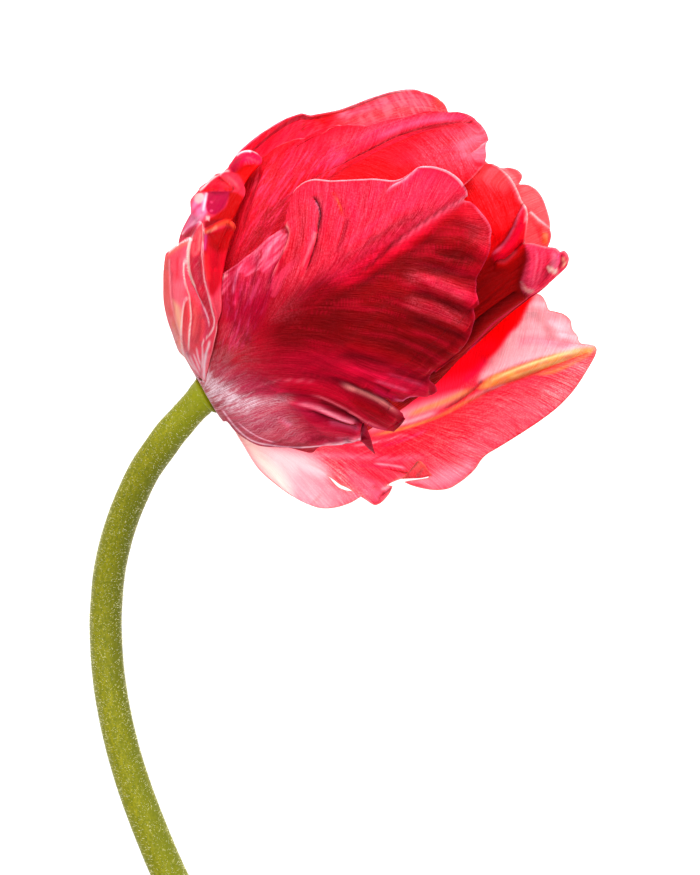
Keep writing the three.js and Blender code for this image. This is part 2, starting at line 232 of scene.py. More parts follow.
def trace(x, y, pts, reach):
    """Distance, signed side (right of the walk is positive) and position along a drawn line."""
    p = resample(pts)
    lo, hi = p.min(0) - reach, p.max(0) + reach
    m = (x > lo[0]) & (x < hi[0]) & (y > lo[1]) & (y < hi[1])
    d, side, s = np.full(x.shape, 1e3), np.full(x.shape, 1e3), np.zeros(x.shape)
    if not m.any():
        return d, side, s
    xs, ys = x[m], y[m]
    best, sd, al = np.full(xs.shape, 1e3), np.zeros(xs.shape), np.zeros(xs.shape)
    ln = np.concatenate([[0], np.cumsum(np.linalg.norm(np.diff(p, axis=0), axis=1))])
    for i in range(len(p) - 1):
        a, e = p[i], p[i + 1] - p[i]
        L2 = max(e @ e, 1e-9)
        k = np.clip(((xs - a[0]) * e[0] + (ys - a[1]) * e[1]) / L2, 0, 1)
        ex, ey = xs - a[0] - k * e[0], ys - a[1] - k * e[1]
        r = np.hypot(ex, ey)
        c = r < best
        best = np.where(c, r, best)
        sd = np.where(c, np.sign(e[0] * ey - e[1] * ex) * r, sd)
        al = np.where(c, (ln[i] + k * math.sqrt(L2)) / ln[-1], al)
    d[m], side[m], s[m] = best, sd, al
    return d, side, s


def fade_of(s, ends):
    a, b = ends
    f = np.ones_like(s)
    if a:
        f = f * smooth(0.0, a, s)
    if b:
        f = f * (1 - smooth(1 - b, 1.0, s))
    return f


def inside(x, y, poly):
    r = np.zeros(x.shape, bool)
    p = np.asarray(poly, float)
    q = np.roll(p, -1, 0)
    for (ax, ay), (bx, by) in zip(p, q):
        if ay == by:
            continue
        r ^= ((ay > y) != (by > y)) & (x < (bx - ax) * (y - ay) / (by - ay) + ax)
    return r


def area_mask(x, y, pts, soft=3.0):
    """A soft-edged region, 0..1."""
    p = np.asarray(list(pts) + [pts[0]], float)
    d, _, _ = trace(x, y, p, soft * 1.5)
    m = inside(x, y, resample(p)[:-1])
    sd = np.where(m, d, -d)
    return smooth(-soft, soft, sd)


class Sheet:
    """What is drawn onto a petal: relief in mm and colours, in pattern units."""

    def __init__(self, u, v, x, y, gate):
        self.u, self.v, self.x, self.y, self.gate = u, v, x, y, gate
        self.h = np.zeros_like(x)

    def ridge(self, pts, w, h, ends=(0.2, 0.2)):
        d, _, s = trace(self.x, self.y, pts, 3 * w)
        self.h += h * np.exp(-((d / w) ** 2)) * fade_of(s, ends) * self.gate

    def step(self, pts, w, h, edge=0.9, ends=(0.2, 0.2)):
        """The right-hand side of the walk stands proud of the left by 2h."""
        d, side, s = trace(self.x, self.y, pts, 3 * w)
        self.h += h * np.tanh(side / edge) * np.exp(-((d / w) ** 2)) * fade_of(s, ends) * self.gate

    def start(self, colour):
        self.c = np.broadcast_to(np.asarray(colour, float), self.u.shape + (3,)).copy()

    def put(self, m, colour, k=1.0):
        m = np.clip(m * k * self.gate, 0, 1)[..., None]
        self.c = self.c * (1 - m) + np.asarray(colour) * m

    def stroke(self, pts, w, colour, k=1.0, ends=(0.2, 0.2)):
        d, _, s = trace(self.x, self.y, pts, 3 * w)
        self.put(np.exp(-((d / w) ** 2)) * fade_of(s, ends), colour, k)

    def area(self, pts, soft, colour, k=1.0):
        self.put(area_mask(self.x, self.y, pts, soft), colour, k)

    def line_mask(self, pts, w, ends=(0.2, 0.2)):
        d, _, s = trace(self.x, self.y, pts, 3 * w)
        return np.exp(-((d / w) ** 2)) * fade_of(s, ends) * self.gate

    def shape_mask(self, pts, soft):
        return area_mask(self.x, self.y, pts, soft) * self.gate


def fan(s, pts, a, b=None, near=0.0, reach=(0, 1)):
    """Veins that leave the midrib, drawn from base to tip, and curve away from it."""
    ln = np.linalg.norm(np.diff(resample(pts), axis=0), axis=1).sum()
    d, side, t = trace(s.x, s.y, pts, 420)
    k = t * ln
    if b is not None:
        a = a + (b - a) * smooth(-4, 4, side)
    a = a + near * (1 - smooth(reach[0], reach[1], k))
    s.vein = np.stack([(k + d * 0.5) / 300, (k - a * np.sqrt(d + 2)) / 300], -1)


def spread(n, dense=()):
    """Positions 0..1, closer together round the places named (at, width, gain)."""
    t = np.linspace(0, 1, 4001)
    w = np.ones_like(t)
    for at, width, gain in dense:
        w += gain * np.exp(-(((t - at) / width) ** 2))
    c = np.concatenate([[0], np.cumsum((w[1:] + w[:-1]) / 2)])
    return np.interp(np.linspace(0, 1, n + 1), c / c[-1], t)


def blur(a, k):
    for ax in (0, 1):
        n = a.shape[ax]
        i = np.arange(n)
        r = np.minimum(np.minimum(i, n - 1 - i), k)
        cs = np.concatenate([np.zeros_like(np.take(a, [0], ax)), np.cumsum(a, ax)], ax)
        d = (2 * r + 1).reshape((-1, 1) if ax == 0 else (1, -1))
        a = (np.take(cs, i + r + 1, ax) - np.take(cs, i - r, ax)) / d
    return a


def petal_shape(o):
    nu, nv = o["n"]
    nv = nv // 4 * 4
    open_ = o.get("open")
    to = place if open_ else (lambda p: place(body(p)))
    base = o["base"]
    left = side_curve([base(0.0)] + o["left"] + [o["rim"][0]], to)
    right = side_curve([base(1.0)] + o["right"] + [o["rim"][-1]], to)
    rim = Rim(o["rim"], to, o.get("even", 0.045))
    u = spread(nu, o.get("rows", ()))[:, None] ** o.get("close", 1.0)
    v = spread(nv, o.get("columns", ()))[None, :]
    u, v = (q.copy() for q in np.broadcast_arrays(u, v))
    L, R = left(u[:, 0])[:, None, :], right(u[:, 0])[:, None, :]
    Bq = np.array([base(x)[:3] for x in v[0]])[None]
    T, S = rim.at(v[0])[None], rim.soft(v[0])[None]
    w = (np.clip((u - o.get("settle", 0.2)) / (1 - o.get("settle", 0.2)), 0, 1) ** o.get("power", 1.7))[..., None]
    T = S + (T - S) * w
    p00, p10, p01, p11 = (np.array(x[:3], float) for x in (base(0.0), o["rim"][0], base(1.0), o["rim"][-1]))
    u3, v3 = u[..., None], v[..., None]
    c = (1 - v3) * L + v3 * R + (1 - u3) * Bq + u3 * T - ((1 - u3) * (1 - v3) * p00 + (1 - u3) * v3 * p01
                                                          + u3 * (1 - v3) * p10 + u3 * v3 * p11)
    pat = c if open_ else body(c)
    gate = np.ones_like(u)
    if o.get("front_only"):
        gate = smooth(*o.get("gate", (-0.25, 0.05)), np.cos(np.radians(c[..., 1])))
    sh = Sheet(u, v, pat[..., 0].copy(), pat[..., 1].copy(), gate)
    smooth_pat = pat
    if open_:
        c = c.copy()
        if "hump" in o:
            c[..., 2] += o["hump"](u, v)
        smooth_pat = c
        o["relief"](sh)
        c = c.copy()
        c[..., 2] += sh.h
        if o.get("belly", True):
            lim = np.minimum(belly(c[..., 0], c[..., 1]) - 0.9 * np.minimum(1, u * 8), 200)
            z = -np.logaddexp(-c[..., 2] / 0.6, -lim / 0.6) * 0.6
            z = 0.3 + np.logaddexp(0, (z - 0.3) / 0.4) * 0.4
            c[..., 2] = np.where(u < 1e-6, c[..., 2], z)
        pat = c
    else:
        o["relief"](sh)
        c = c.copy()
        c[..., 2] += sh.h
        pat = body(c)
        if o.get("follow"):
            sh.x, sh.y = pat[..., 0].copy(), pat[..., 1].copy()
    return smooth_pat, pat, u, v, sh


def normals(p):
    a, b = np.gradient(p, axis=0), np.gradient(p, axis=1)
    n = np.cross(a, b)
    return n / np.maximum(np.linalg.norm(n, axis=-1, keepdims=True), 1e-12)


def edge_distance(p):
    """Distance in mm from each point of a grid to its free edges, along the grid."""
    du = np.linalg.norm(np.diff(p, axis=0), axis=-1)
    dv = np.linalg.norm(np.diff(p, axis=1), axis=-1)
    up = np.concatenate([np.cumsum(du[::-1], 0)[::-1], np.zeros((1, p.shape[1]))], 0)
    lf = np.concatenate([np.zeros((p.shape[0], 1)), np.cumsum(dv, 1)], 1)
    rt = np.concatenate([np.cumsum(dv[:, ::-1], 1)[:, ::-1], np.zeros((p.shape[0], 1))], 1)
    return np.minimum(up, np.minimum(lf, rt)) * 1000


def new_object(name, verts, faces, mat, smooth_=True):
    me = bpy.data.meshes.new(name)
    verts = np.asarray(verts, np.float32)
    me.vertices.add(len(verts))
    me.vertices.foreach_set("co", verts.ravel())
    sizes = np.concatenate([np.full(len(f), np.shape(f)[1], np.int32) for f in faces if len(f)])
    loops = np.concatenate([np.asarray(f, np.int32).ravel() for f in faces if len(f)])
    me.loops.add(len(loops))
    me.loops.foreach_set("vertex_index", loops)
    me.polygons.add(len(sizes))
    me.polygons.foreach_set("loop_start", np.concatenate([[0], np.cumsum(sizes)[:-1]]).astype(np.int32))
    me.polygons.foreach_set("loop_total", sizes)
    me.update(calc_edges=True)
    me.validate()
    me.polygons.foreach_set("use_smooth", np.full(len(me.polygons), smooth_))
    me.update()
    ob = bpy.data.objects.new(name, me)
    bpy.context.scene.collection.objects.link(ob)
    if mat:
        me.materials.append(mat)
    return ob


def add_attr(me, name, kind, data):
    at = me.attributes.new(name, kind, "POINT")
    at.data.foreach_set("color" if kind == "FLOAT_COLOR" else "vector", np.asarray(data, np.float32).ravel())


def cells(nu, nv, phi):
    """The faces of a grid of rows and columns, coarser in v towards the base, cut where phi is positive.

    Gives polygons by size, and for each new vertex the two grid points and the share it is mixed from."""
    stride = np.where(np.arange(nu) < 0.2 * nu, 4, np.where(np.arange(nu) < 0.45 * nu, 2, 1))
    stride[-1] = 1
    polys = {3: [], 4: [], 5: [], 6: [], 7: []}
    extra, found = [], {}
    keep = phi < 0 if phi is not None else None

    def cross(a, b):
        key = (a, b) if a < b else (b, a)
        if key not in found:
            fa, fb = flat[key[0]], flat[key[1]]
            found[key] = nu * nv + len(extra)
            extra.append((key[0], key[1], min(max(fa / (fa - fb), 0.03), 0.97)))
        return found[key]

    flat = phi.ravel() if phi is not None else None
    for i in range(nu - 1):
        s, s2 = stride[i], stride[i + 1]
        j = np.arange(0, nv - 1, s)
        cols = [i * nv + j] + [(i + 1) * nv + j + k for k in range(0, s + 1, s2)] + [i * nv + j + s]
        f = np.stack(cols, 1)
        if keep is None:
            polys[f.shape[1]].append(f)
            continue
        k = keep.ravel()[f]
        full = k.all(1)
        polys[f.shape[1]].append(f[full])
        for row, kr in zip(f[~full & k.any(1)], k[~full & k.any(1)]):
            out = []
            m = len(row)
            for a in range(m):
                b = (a + 1) % m
                if kr[a]:
                    out.append(int(row[a]))
                if kr[a] != kr[b]:
                    out.append(cross(int(row[a]), int(row[b])))
            if 3 <= len(out) <= 7:
                polys[len(out)].append(np.array([out]))
    return {k: np.concatenate(p) if p else np.zeros((0, k), int) for k, p in polys.items()}, extra


# LIGHT is the lamp direction for the painted shade and painted highlight on the petal colours.
LIGHT = np.array([-0.45, 0.62, 0.64])


def make_petal(o):
    base_pat, pat, u, v, sh = petal_shape(o)
    P, P0 = place(pat), place(base_pat)
    n, n0 = normals(P), normals(P0)
    flip = -1 if o.get("flip") else 1
    n, n0 = n * flip, n0 * flip
    # Painted shade and painted highlight: how far the relief turns each point towards LIGHT (lighter) and away from it
    # (darker).
    shade = ((n - n0) @ LIGHT) * o.get("seen_side", 1)
    edge = edge_distance(P)
    nu, nv = P.shape[:2]
    phi = None
    for cut in o.get("cuts", ()):
        p = np.asarray(list(cut) + [cut[0]], float)
        d, _, _ = trace(sh.x, sh.y, p, 12)
        sd = np.where(inside(sh.x, sh.y, resample(p)[:-1]), np.minimum(d, 50), -np.minimum(d, 50))
        phi = sd if phi is None else np.maximum(phi, sd)
    if phi is not None:
        phi = np.where(sh.gate > 0.5, phi, -50.0)
        phi = np.where(np.abs(phi) < 0.04, -0.04, phi)
        edge = np.minimum(edge, np.maximum(-phi, 0) * UNIT)
    th = (o.get("rim_t", 0.16) + (o.get("thick", 0.42) - o.get("rim_t", 0.16)) * smooth(0, 3.5, edge)
          + 0.25 * (1 - smooth(0.0, 0.25, u))) * 0.001 + 0.00008 * bell(edge, 0.35, 0.3)
    top, bot = P + n * th[..., None] / 2, P - n * th[..., None] / 2
    sh.edge, sh.shade = edge, shade
    # Painted shade in creases: how far the relief lies below its own blur.
    sh.cav = sh.h - blur(sh.h, 5)
    o["paint"](sh)
    deep, gain = np.array([1.0, 1.42, 1.22]), np.array(o.get("gain", (1, 1, 1)))
    pale = smooth(0.1, 0.4, sh.c[..., 1:2])
    gain = gain + (1 - gain) * pale
    sh.c, sh.glow = np.clip(sh.c, 0, 1) ** deep * gain, np.clip(sh.glow, 0, 1) ** deep * gain
    # The paint with painted shade and highlight from the relief and painted shade in the creases; the light passing
    # through gets the same painted shade.
    shaded_tint = sh.c * np.exp(np.clip(o.get("relight", 1.2) * shade, -1.2, 0.9))[..., None]
    shaded_tint = shaded_tint * np.exp(np.clip(sh.cav * o.get("crease", 1.6), -1.0, 0.25))[..., None]
    shaded_tint = np.clip(shaded_tint, 0, 0.98)
    glow = np.clip(sh.glow * np.exp(np.clip(0.8 * shade, -0.8, 0.5))[..., None], 0, 0.98)
    vein = getattr(sh, "vein", np.stack([u, v], -1))
    polys, extra = cells(nu, nv, phi)
    outer = 1.0 if not o.get("inner_seen") else 0.0
    table = np.concatenate([top.reshape(-1, 3), bot.reshape(-1, 3), shaded_tint.reshape(-1, 3), glow.reshape(-1, 3),
                            sh.mask.reshape(-1, 3), vein.reshape(-1, 2)], 1)
    if extra:
        e = np.array(extra)
        ia, ib, t = e[:, 0].astype(int), e[:, 1].astype(int), e[:, 2:3]
        table = np.concatenate([table, table[ia] * (1 - t) + table[ib] * t])
    polys = {k: p for k, p in polys.items() if len(p)}
    used = np.unique(np.concatenate([p.ravel() for p in polys.values()]))
    index = np.full(len(table), -1)
    index[used] = np.arange(len(used))
    table = table[used]
    N = len(table)
    faces = [index[p] for p in polys.values()]
    ed = np.concatenate([np.stack([f, np.roll(f, -1, 1)], -1).reshape(-1, 2) for f in faces])
    code = ed[:, 0] * (N + 1) + ed[:, 1]
    rev = ed[:, 1] * (N + 1) + ed[:, 0]
    lone = ed[~np.isin(code, rev)]
    walls = np.stack([lone[:, 1], lone[:, 0], lone[:, 0] + N, lone[:, 1] + N], 1)
    allf = [f for f in faces] + [f[:, ::-1] + N for f in faces] + [walls]
    if flip < 0:
        allf = [f[:, ::-1] for f in allf]
    ob = new_object(o["name"], np.concatenate([table[:, 0:3], table[:, 3:6]]), allf, o["mat"])
    me = ob.data
    one = np.ones((2 * N, 1))
    both = lambda q: np.concatenate([q, q])
    other = o.get("behind", lambda c: c)
    add_attr(me, "shaded_tint", "FLOAT_COLOR", np.concatenate([np.concatenate([table[:, 6:9], other(table[:, 6:9])]), one], 1))
    add_attr(me, "glow", "FLOAT_COLOR", np.concatenate([both(table[:, 9:12]), one], 1))
    add_attr(me, "mask", "FLOAT_COLOR", np.concatenate([both(table[:, 12:15]), one], 1))
    face = np.concatenate([np.full(N, outer), np.full(N, 1 - outer)])[:, None]
    add_attr(me, "vein", "FLOAT_VECTOR", np.concatenate([both(table[:, 15:17]), face], 1))
    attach(ob, "root")
    if o.get("node"):
        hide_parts(o["node"])
    return ob


# ---- materials -------------------------------------------------------------------------
def rgb(r, g, b):
    """Linear colour from ordinary 0..255 values."""
    c = np.array([r, g, b], float) / 255
    return np.where(c <= 0.04045, c / 12.92, ((c + 0.055) / 1.055) ** 2.4)


class Nodes:
    def __init__(self, name):
        self.mat = bpy.data.materials.new(name)
        self.mat.use_nodes = True
        self.t = self.mat.node_tree
        self.t.nodes.clear()

    def n(self, kind, **kw):
        x = self.t.nodes.new(kind)
        for k, val in kw.items():
            if hasattr(x, k):
                setattr(x, k, val)
            else:
                x.inputs[k].default_value = val
        return x

    def link(self, a, b):
        self.t.links.new(a, b)

    def math(self, op, a, b=None, clamp=False):
        x = self.n("ShaderNodeMath", operation=op)
        x.use_clamp = clamp
        for i, s in enumerate((a, b)):
            if s is None:
                continue
            if isinstance(s, (int, float)):
                x.inputs[i].default_value = s
            else:
                self.link(s, x.inputs[i])
        return x.outputs[0]

    def mix(self, fac, a, b, kind="MIX"):
        x = self.n("ShaderNodeMix", data_type="RGBA", blend_type=kind)
        for s, key in ((fac, 0), (a, 6), (b, 7)):
            if isinstance(s, (int, float)):
                x.inputs[key].default_value = s
            elif isinstance(s, (tuple, list, np.ndarray)):
                x.inputs[key].default_value = tuple(list(s)[:3]) + (1,)
            else:
                self.link(s, x.inputs[key])
        return x.outputs[2]

    def ramp(self, fac, stops):
        x = self.n("ShaderNodeValToRGB")
        e = x.color_ramp.elements
        while len(e) < len(stops):
            e.new(0.5)
        for i, (pos, col) in enumerate(stops):
            e[i].position = pos
            e[i].color = (col, col, col, 1) if isinstance(col, (int, float)) else tuple(col) + (1,)
        self.link(fac, x.inputs[0])
        return x.outputs[0]

    def noise(self, vec, scale, detail=3.0, rough=0.55):
        x = self.n("ShaderNodeTexNoise")
        x.inputs["Scale"].default_value = scale
        x.inputs["Detail"].default_value = detail
        x.inputs["Roughness"].default_value = rough
        self.link(vec, x.inputs["Vector"])
        return x.outputs["Fac"]

    def scaled(self, vec, s):
        x = self.n("ShaderNodeVectorMath", operation="MULTIPLY")
        self.link(vec, x.inputs[0])
        x.inputs[1].default_value = s
        return x.outputs[0]

    def attr(self, name, out="Color"):
        x = self.n("ShaderNodeAttribute", attribute_name=name)
        return x.outputs[out]


PINK_SHEEN, BLOOM = rgb(250, 96, 118), rgb(240, 208, 220)


def petal_material(name, thin=0.5, rough=0.42, depth=0.45, lines=150.0, pink_and_sheen=PINK_SHEEN, bloom=BLOOM, spec=0.02, dark=(0.34, 0.06, 0.14)):
    """A living petal: fine lengthwise veins, a silky surface with pink streaks that are partly painted sheen, and light
    passing through.
    """
    m = Nodes(name)
    shaded_tint, glow, mask = m.attr("shaded_tint"), m.attr("glow"), m.attr("mask")
    vein = m.attr("vein", "Vector")
    co = m.n("ShaderNodeTexCoord").outputs["Object"]
    fine = m.noise(m.scaled(vein, (10.0, lines, 0.0)), 1.0, 2.0, 0.6)
    thin_n = m.noise(m.scaled(vein, (18.0, lines * 1.7, 7.0)), 1.0, 1.0, 0.6)
    broad = m.noise(m.scaled(vein, (2.5, lines * 0.22, 3.0)), 1.0, 3.0, 0.55)
    grain = m.noise(co, 2400.0, 1.0, 0.6)
    speck = m.noise(m.scaled(vein, (40.0, lines * 0.35, 5.0)), 1.0, 3.0, 0.7)
    f1 = m.ramp(fine, [(0.36, 0.0), (0.62, 1.0)])
    f2 = m.ramp(broad, [(0.34, 0.0), (0.64, 1.0)])
    f3 = m.ramp(thin_n, [(0.4, 0.0), (0.64, 1.0)])
    f4 = m.ramp(grain, [(0.36, 0.0), (0.64, 1.0)])
    sep = m.n("ShaderNodeSeparateColor")
    m.link(mask, sep.inputs[0])
    bl, vis, ro = sep.outputs[0], sep.outputs[1], sep.outputs[2]
    v = m.math("ADD", m.math("ADD", m.math("MULTIPLY", f1, 0.36), m.math("MULTIPLY", f2, 0.3)),
               m.math("ADD", m.math("MULTIPLY", f3, 0.2), m.math("MULTIPLY", f4, 0.14)))
    k = m.math("MULTIPLY", m.math("MULTIPLY", m.math("SUBTRACT", 1.0, v), depth), vis, True)
    dark = m.mix(1.0, shaded_tint, dark, "MULTIPLY")
    base = m.mix(k, shaded_tint, dark)
    # Pink streaks along the veins, as strong as the mask's blue channel: partly the petal's own pink, partly painted
    # sheen.
    rs = m.math("MULTIPLY", m.math("MULTIPLY", m.math("ADD", m.math("MULTIPLY", f3, 0.6), m.math("MULTIPLY", f1, 0.4)), m.math("ADD", m.math("MULTIPLY", f2, 0.7), m.math("MULTIPLY", f4, 0.8))), ro, True)
    base = m.mix(rs, base, pink_and_sheen)
    st = m.ramp(m.math("ADD", m.math("MULTIPLY", speck, 0.45), m.math("ADD", m.math("MULTIPLY", f3, 0.4), m.math("MULTIPLY", f4, 0.15))), [(0.28, 0.0), (0.68, 1.0)])
    bb = m.math("MULTIPLY", m.math("ADD", m.math("MULTIPLY", st, 0.8), 0.2), bl, True)
    base = m.mix(bb, base, bloom)
    p = m.n("ShaderNodeBsdfPrincipled")
    p.inputs["Roughness"].default_value = rough
    p.inputs["Specular IOR Level"].default_value = spec
    m.link(base, p.inputs["Base Color"])
    bump = m.n("ShaderNodeBump")
    bump.inputs["Strength"].default_value = 0.5
    bump.inputs["Distance"].default_value = 0.0003
    m.link(m.math("ADD", m.math("MULTIPLY", f1, 0.6), m.math("MULTIPLY", f3, 0.4)), bump.inputs["Height"])
    m.link(bump.outputs[0], p.inputs["Normal"])
    tr = m.n("ShaderNodeBsdfTranslucent")
    gd = m.mix(1.0, glow, (0.8, 0.35, 0.45), "MULTIPLY")
    m.link(m.mix(k, glow, gd), tr.inputs["Color"])
    m.link(bump.outputs[0], tr.inputs["Normal"])
    mixs = m.n("ShaderNodeMixShader")
    mixs.inputs[0].default_value = thin
    m.link(p.outputs[0], mixs.inputs[1])
    m.link(tr.outputs[0], mixs.inputs[2])
    out = m.n("ShaderNodeOutputMaterial")
    m.link(mixs.outputs[0], out.inputs["Surface"])
    return m.mat


# ---- petals ----------------------------------------------------------------------------
def arc(a0, a1, off):
    return lambda v: (0.0, a0 + (a1 - a0) * v, off)


def streaks(x, y, turn, long, thick, seed):
    """Noise drawn out along one direction of the picture, 0..1."""
    a, b = np.cos(np.radians(turn)), np.sin(np.radians(turn))
    p, q = x * a - y * b, x * b + y * a
    return 0.6 * value_noise(p / long, q / thick, seed) + 0.4 * value_noise(p / long * 1.9, q / thick * 2.1, seed + 1)


def patches_noise(x, y, size, seed, lo=0.35, hi=0.65):
    n = 0.6 * value_noise(x / size, y / size, seed) + 0.4 * value_noise(x / size * 2.3, y / size * 2.3, seed + 1)
    return smooth(lo, hi, n)


def front_relief(s):
    u, v = s.u, s.v
    mid = [(468, 198), (456, 203), (444, 209), (430, 217.5), (407, 231), (383, 246), (358, 262), (333, 279), (308, 294), (282, 311), (255, 333)]
    # the upper half lies over the lower half along the midrib
    s.step(mid, 9, -0.28, 3.0, (0.02, 0.25))
    s.ridge([(468, 206), (450, 215), (434, 226), (410, 241), (386, 257), (360, 274), (335, 291), (310, 306)], 3.6, 0.3, (0.1, 0.3))
    s.ridge([(440, 231), (412, 250), (385, 268), (352, 290)], 3.5, -0.35)
    s.ridge([(430, 206), (400, 222), (370, 240), (340, 260), (315, 277)], 4, -0.3)
    s.ridge([(420, 200), (385, 220), (355, 240)], 5, 0.3)
    # slit one and slit two with their creases
    s1 = [(311, 195), (316.5, 203), (319, 214), (317.5, 223), (316, 232), (315, 239), (311, 253), (306, 268), (300, 281)]
    s.step(s1, 10, 0.75, 0.8, (0.05, 0.3))
    s.ridge(s1, 1.5, -1.3, (0.05, 0.35))
    s.ridge([(306, 197), (309, 210), (309, 226), (306, 244), (298, 262)], 5, 0.5)
    s.ridge([(325, 200), (328, 214), (326, 232), (320, 252)], 4, 0.5)
    s2 = [(331, 189), (336, 199), (340.5, 210), (343.5, 220), (342, 232), (338, 245), (331, 258)]
    s.step(s2, 9, 0.3, 0.9, (0.05, 0.3))
    s.ridge(s2, 1.4, -0.2, (0.05, 0.35))
    s.ridge([(349, 196), (354, 212), (352, 232), (342, 254)], 6, 0.45)
    # the folded lobe at the left
    lobe = [(286, 223), (290, 231), (287.5, 243), (282, 257), (276, 268), (271, 281), (264, 296)]
    s.step(lobe, 9, -0.8, 0.9, (0.02, 0.35))
    s.ridge([(247, 262), (244, 272), (238, 290), (230, 310)], 4, 0.45)
    s.ridge([(258, 252), (256, 268), (250, 288)], 3, -0.35)
    # the lobe at the tip folds over
    s.step([(418, 168), (404, 180), (392, 187), (383, 198), (378, 208)], 9, -0.5, 1.2, (0.05, 0.4))
    s.ridge([(440, 170), (425, 184), (405, 200), (385, 216)], 7, 0.35)
    s.ridge([(366, 181), (362, 196), (352, 214)], 6, -0.4, (0.05, 0.3))
    s.ridge([(380, 182), (374, 196), (366, 210)], 5, 0.35, (0.05, 0.3))
    # cross ripples by the right-hand edge
    for pts, w, h in (([(410, 262), (430, 266), (455, 273), (480, 280)], 6, -0.55),
                      ([(402, 272), (425, 279), (448, 286), (462, 293), (477, 301)], 5.5, 0.95),
                      ([(400, 290), (425, 294), (450, 304), (474, 311)], 5, -0.7),
                      ([(396, 300), (424, 306), (446, 315), (470, 327)], 4.5, 0.75),
                      ([(395, 314), (425, 320), (452, 332), (468, 338)], 4, -0.5),
                      ([(390, 330), (420, 334), (448, 346), (460, 350)], 4, 0.45),
                      ([(430, 240), (455, 242), (489, 246)], 6, 0.4), ([(425, 252), (452, 256), (486, 262)], 5, -0.35),
                      ([(440, 222), (462, 224), (490, 230)], 5, -0.3)):
        s.ridge(pts, w, h, (0.35, 0.05))
    # long folds that run down to the fingers
    for pts, w, h in (([(250, 392), (270, 387), (290, 382), (312, 383), (330, 389), (352, 400), (378, 413), (396, 423)], 6.0, 0.7),
                      ([(262, 396), (285, 393), (303, 394), (325, 401), (345, 412), (362, 422)], 3.2, -0.55),
                      ([(270, 402), (295, 401), (315, 407), (335, 415), (356, 423)], 3.2, 0.5),
                      ([(300, 405), (313, 411), (330, 418.5), (345, 423.5), (358, 426)], 1.8, -0.4),
                      ([(285, 414), (310, 420), (335, 430), (358, 434)], 7, 0.6),
                      ([(300, 432), (325, 437), (350, 438)], 4, -0.4),
                      ([(255, 425), (285, 436), (315, 441), (345, 441)], 4, 0.4),
                      ([(322, 372), (338, 379), (356, 385), (374, 393), (392, 400)], 3.0, -0.7),
                      ([(318, 362), (340, 366), (365, 374), (392, 385), (414, 391), (430, 391)], 6, 0.65),
                      ([(352, 374), (372, 381), (390, 390)], 2.5, -0.5),
                      ([(330, 352), (360, 356), (390, 366), (415, 376), (430, 381)], 3.4, -0.45),
                      ([(335, 344), (365, 346), (400, 356), (430, 370)], 5, 0.5),
                      ([(300, 366), (318, 368), (345, 377), (366, 386)], 3, 0.4)):
        s.ridge(pts, w, h, (0.25, 0.04))
    s.step([(352, 384), (368, 391.5), (380, 397), (392, 400)], 7, -0.5, 0.8, (0.2, 0.02))
    s.step([(345, 411.5), (356, 417.5), (366, 424.5)], 6, -0.5, 0.7, (0.2, 0.02))
    # the rolled fold at the end of the lowest finger
    s.step([(363, 424), (360, 431), (361, 440)], 5, 0.5, 0.7, (0.05, 0.05))
    s.ridge([(276, 417), (283, 421), (291, 425)], 3.2, 0.5)
    s.ridge([(220, 330), (232, 345), (236, 365)], 6, 0.4)
    s.ridge([(228, 318), (243, 330), (250, 350)], 5, -0.3)
    # ripples that die out inwards
    n = value_noise(v * 46, u * 3.0, 21) - 0.5
    calm = 1 - 0.8 * smooth(368, 396, s.y)
    s.h += 0.5 * n * smooth(0.35, 1.0, u) * calm
    n = value_noise(v * 120, u * 5.0, 22) - 0.5
    s.h += 0.2 * n * smooth(0.3, 0.95, u) * calm


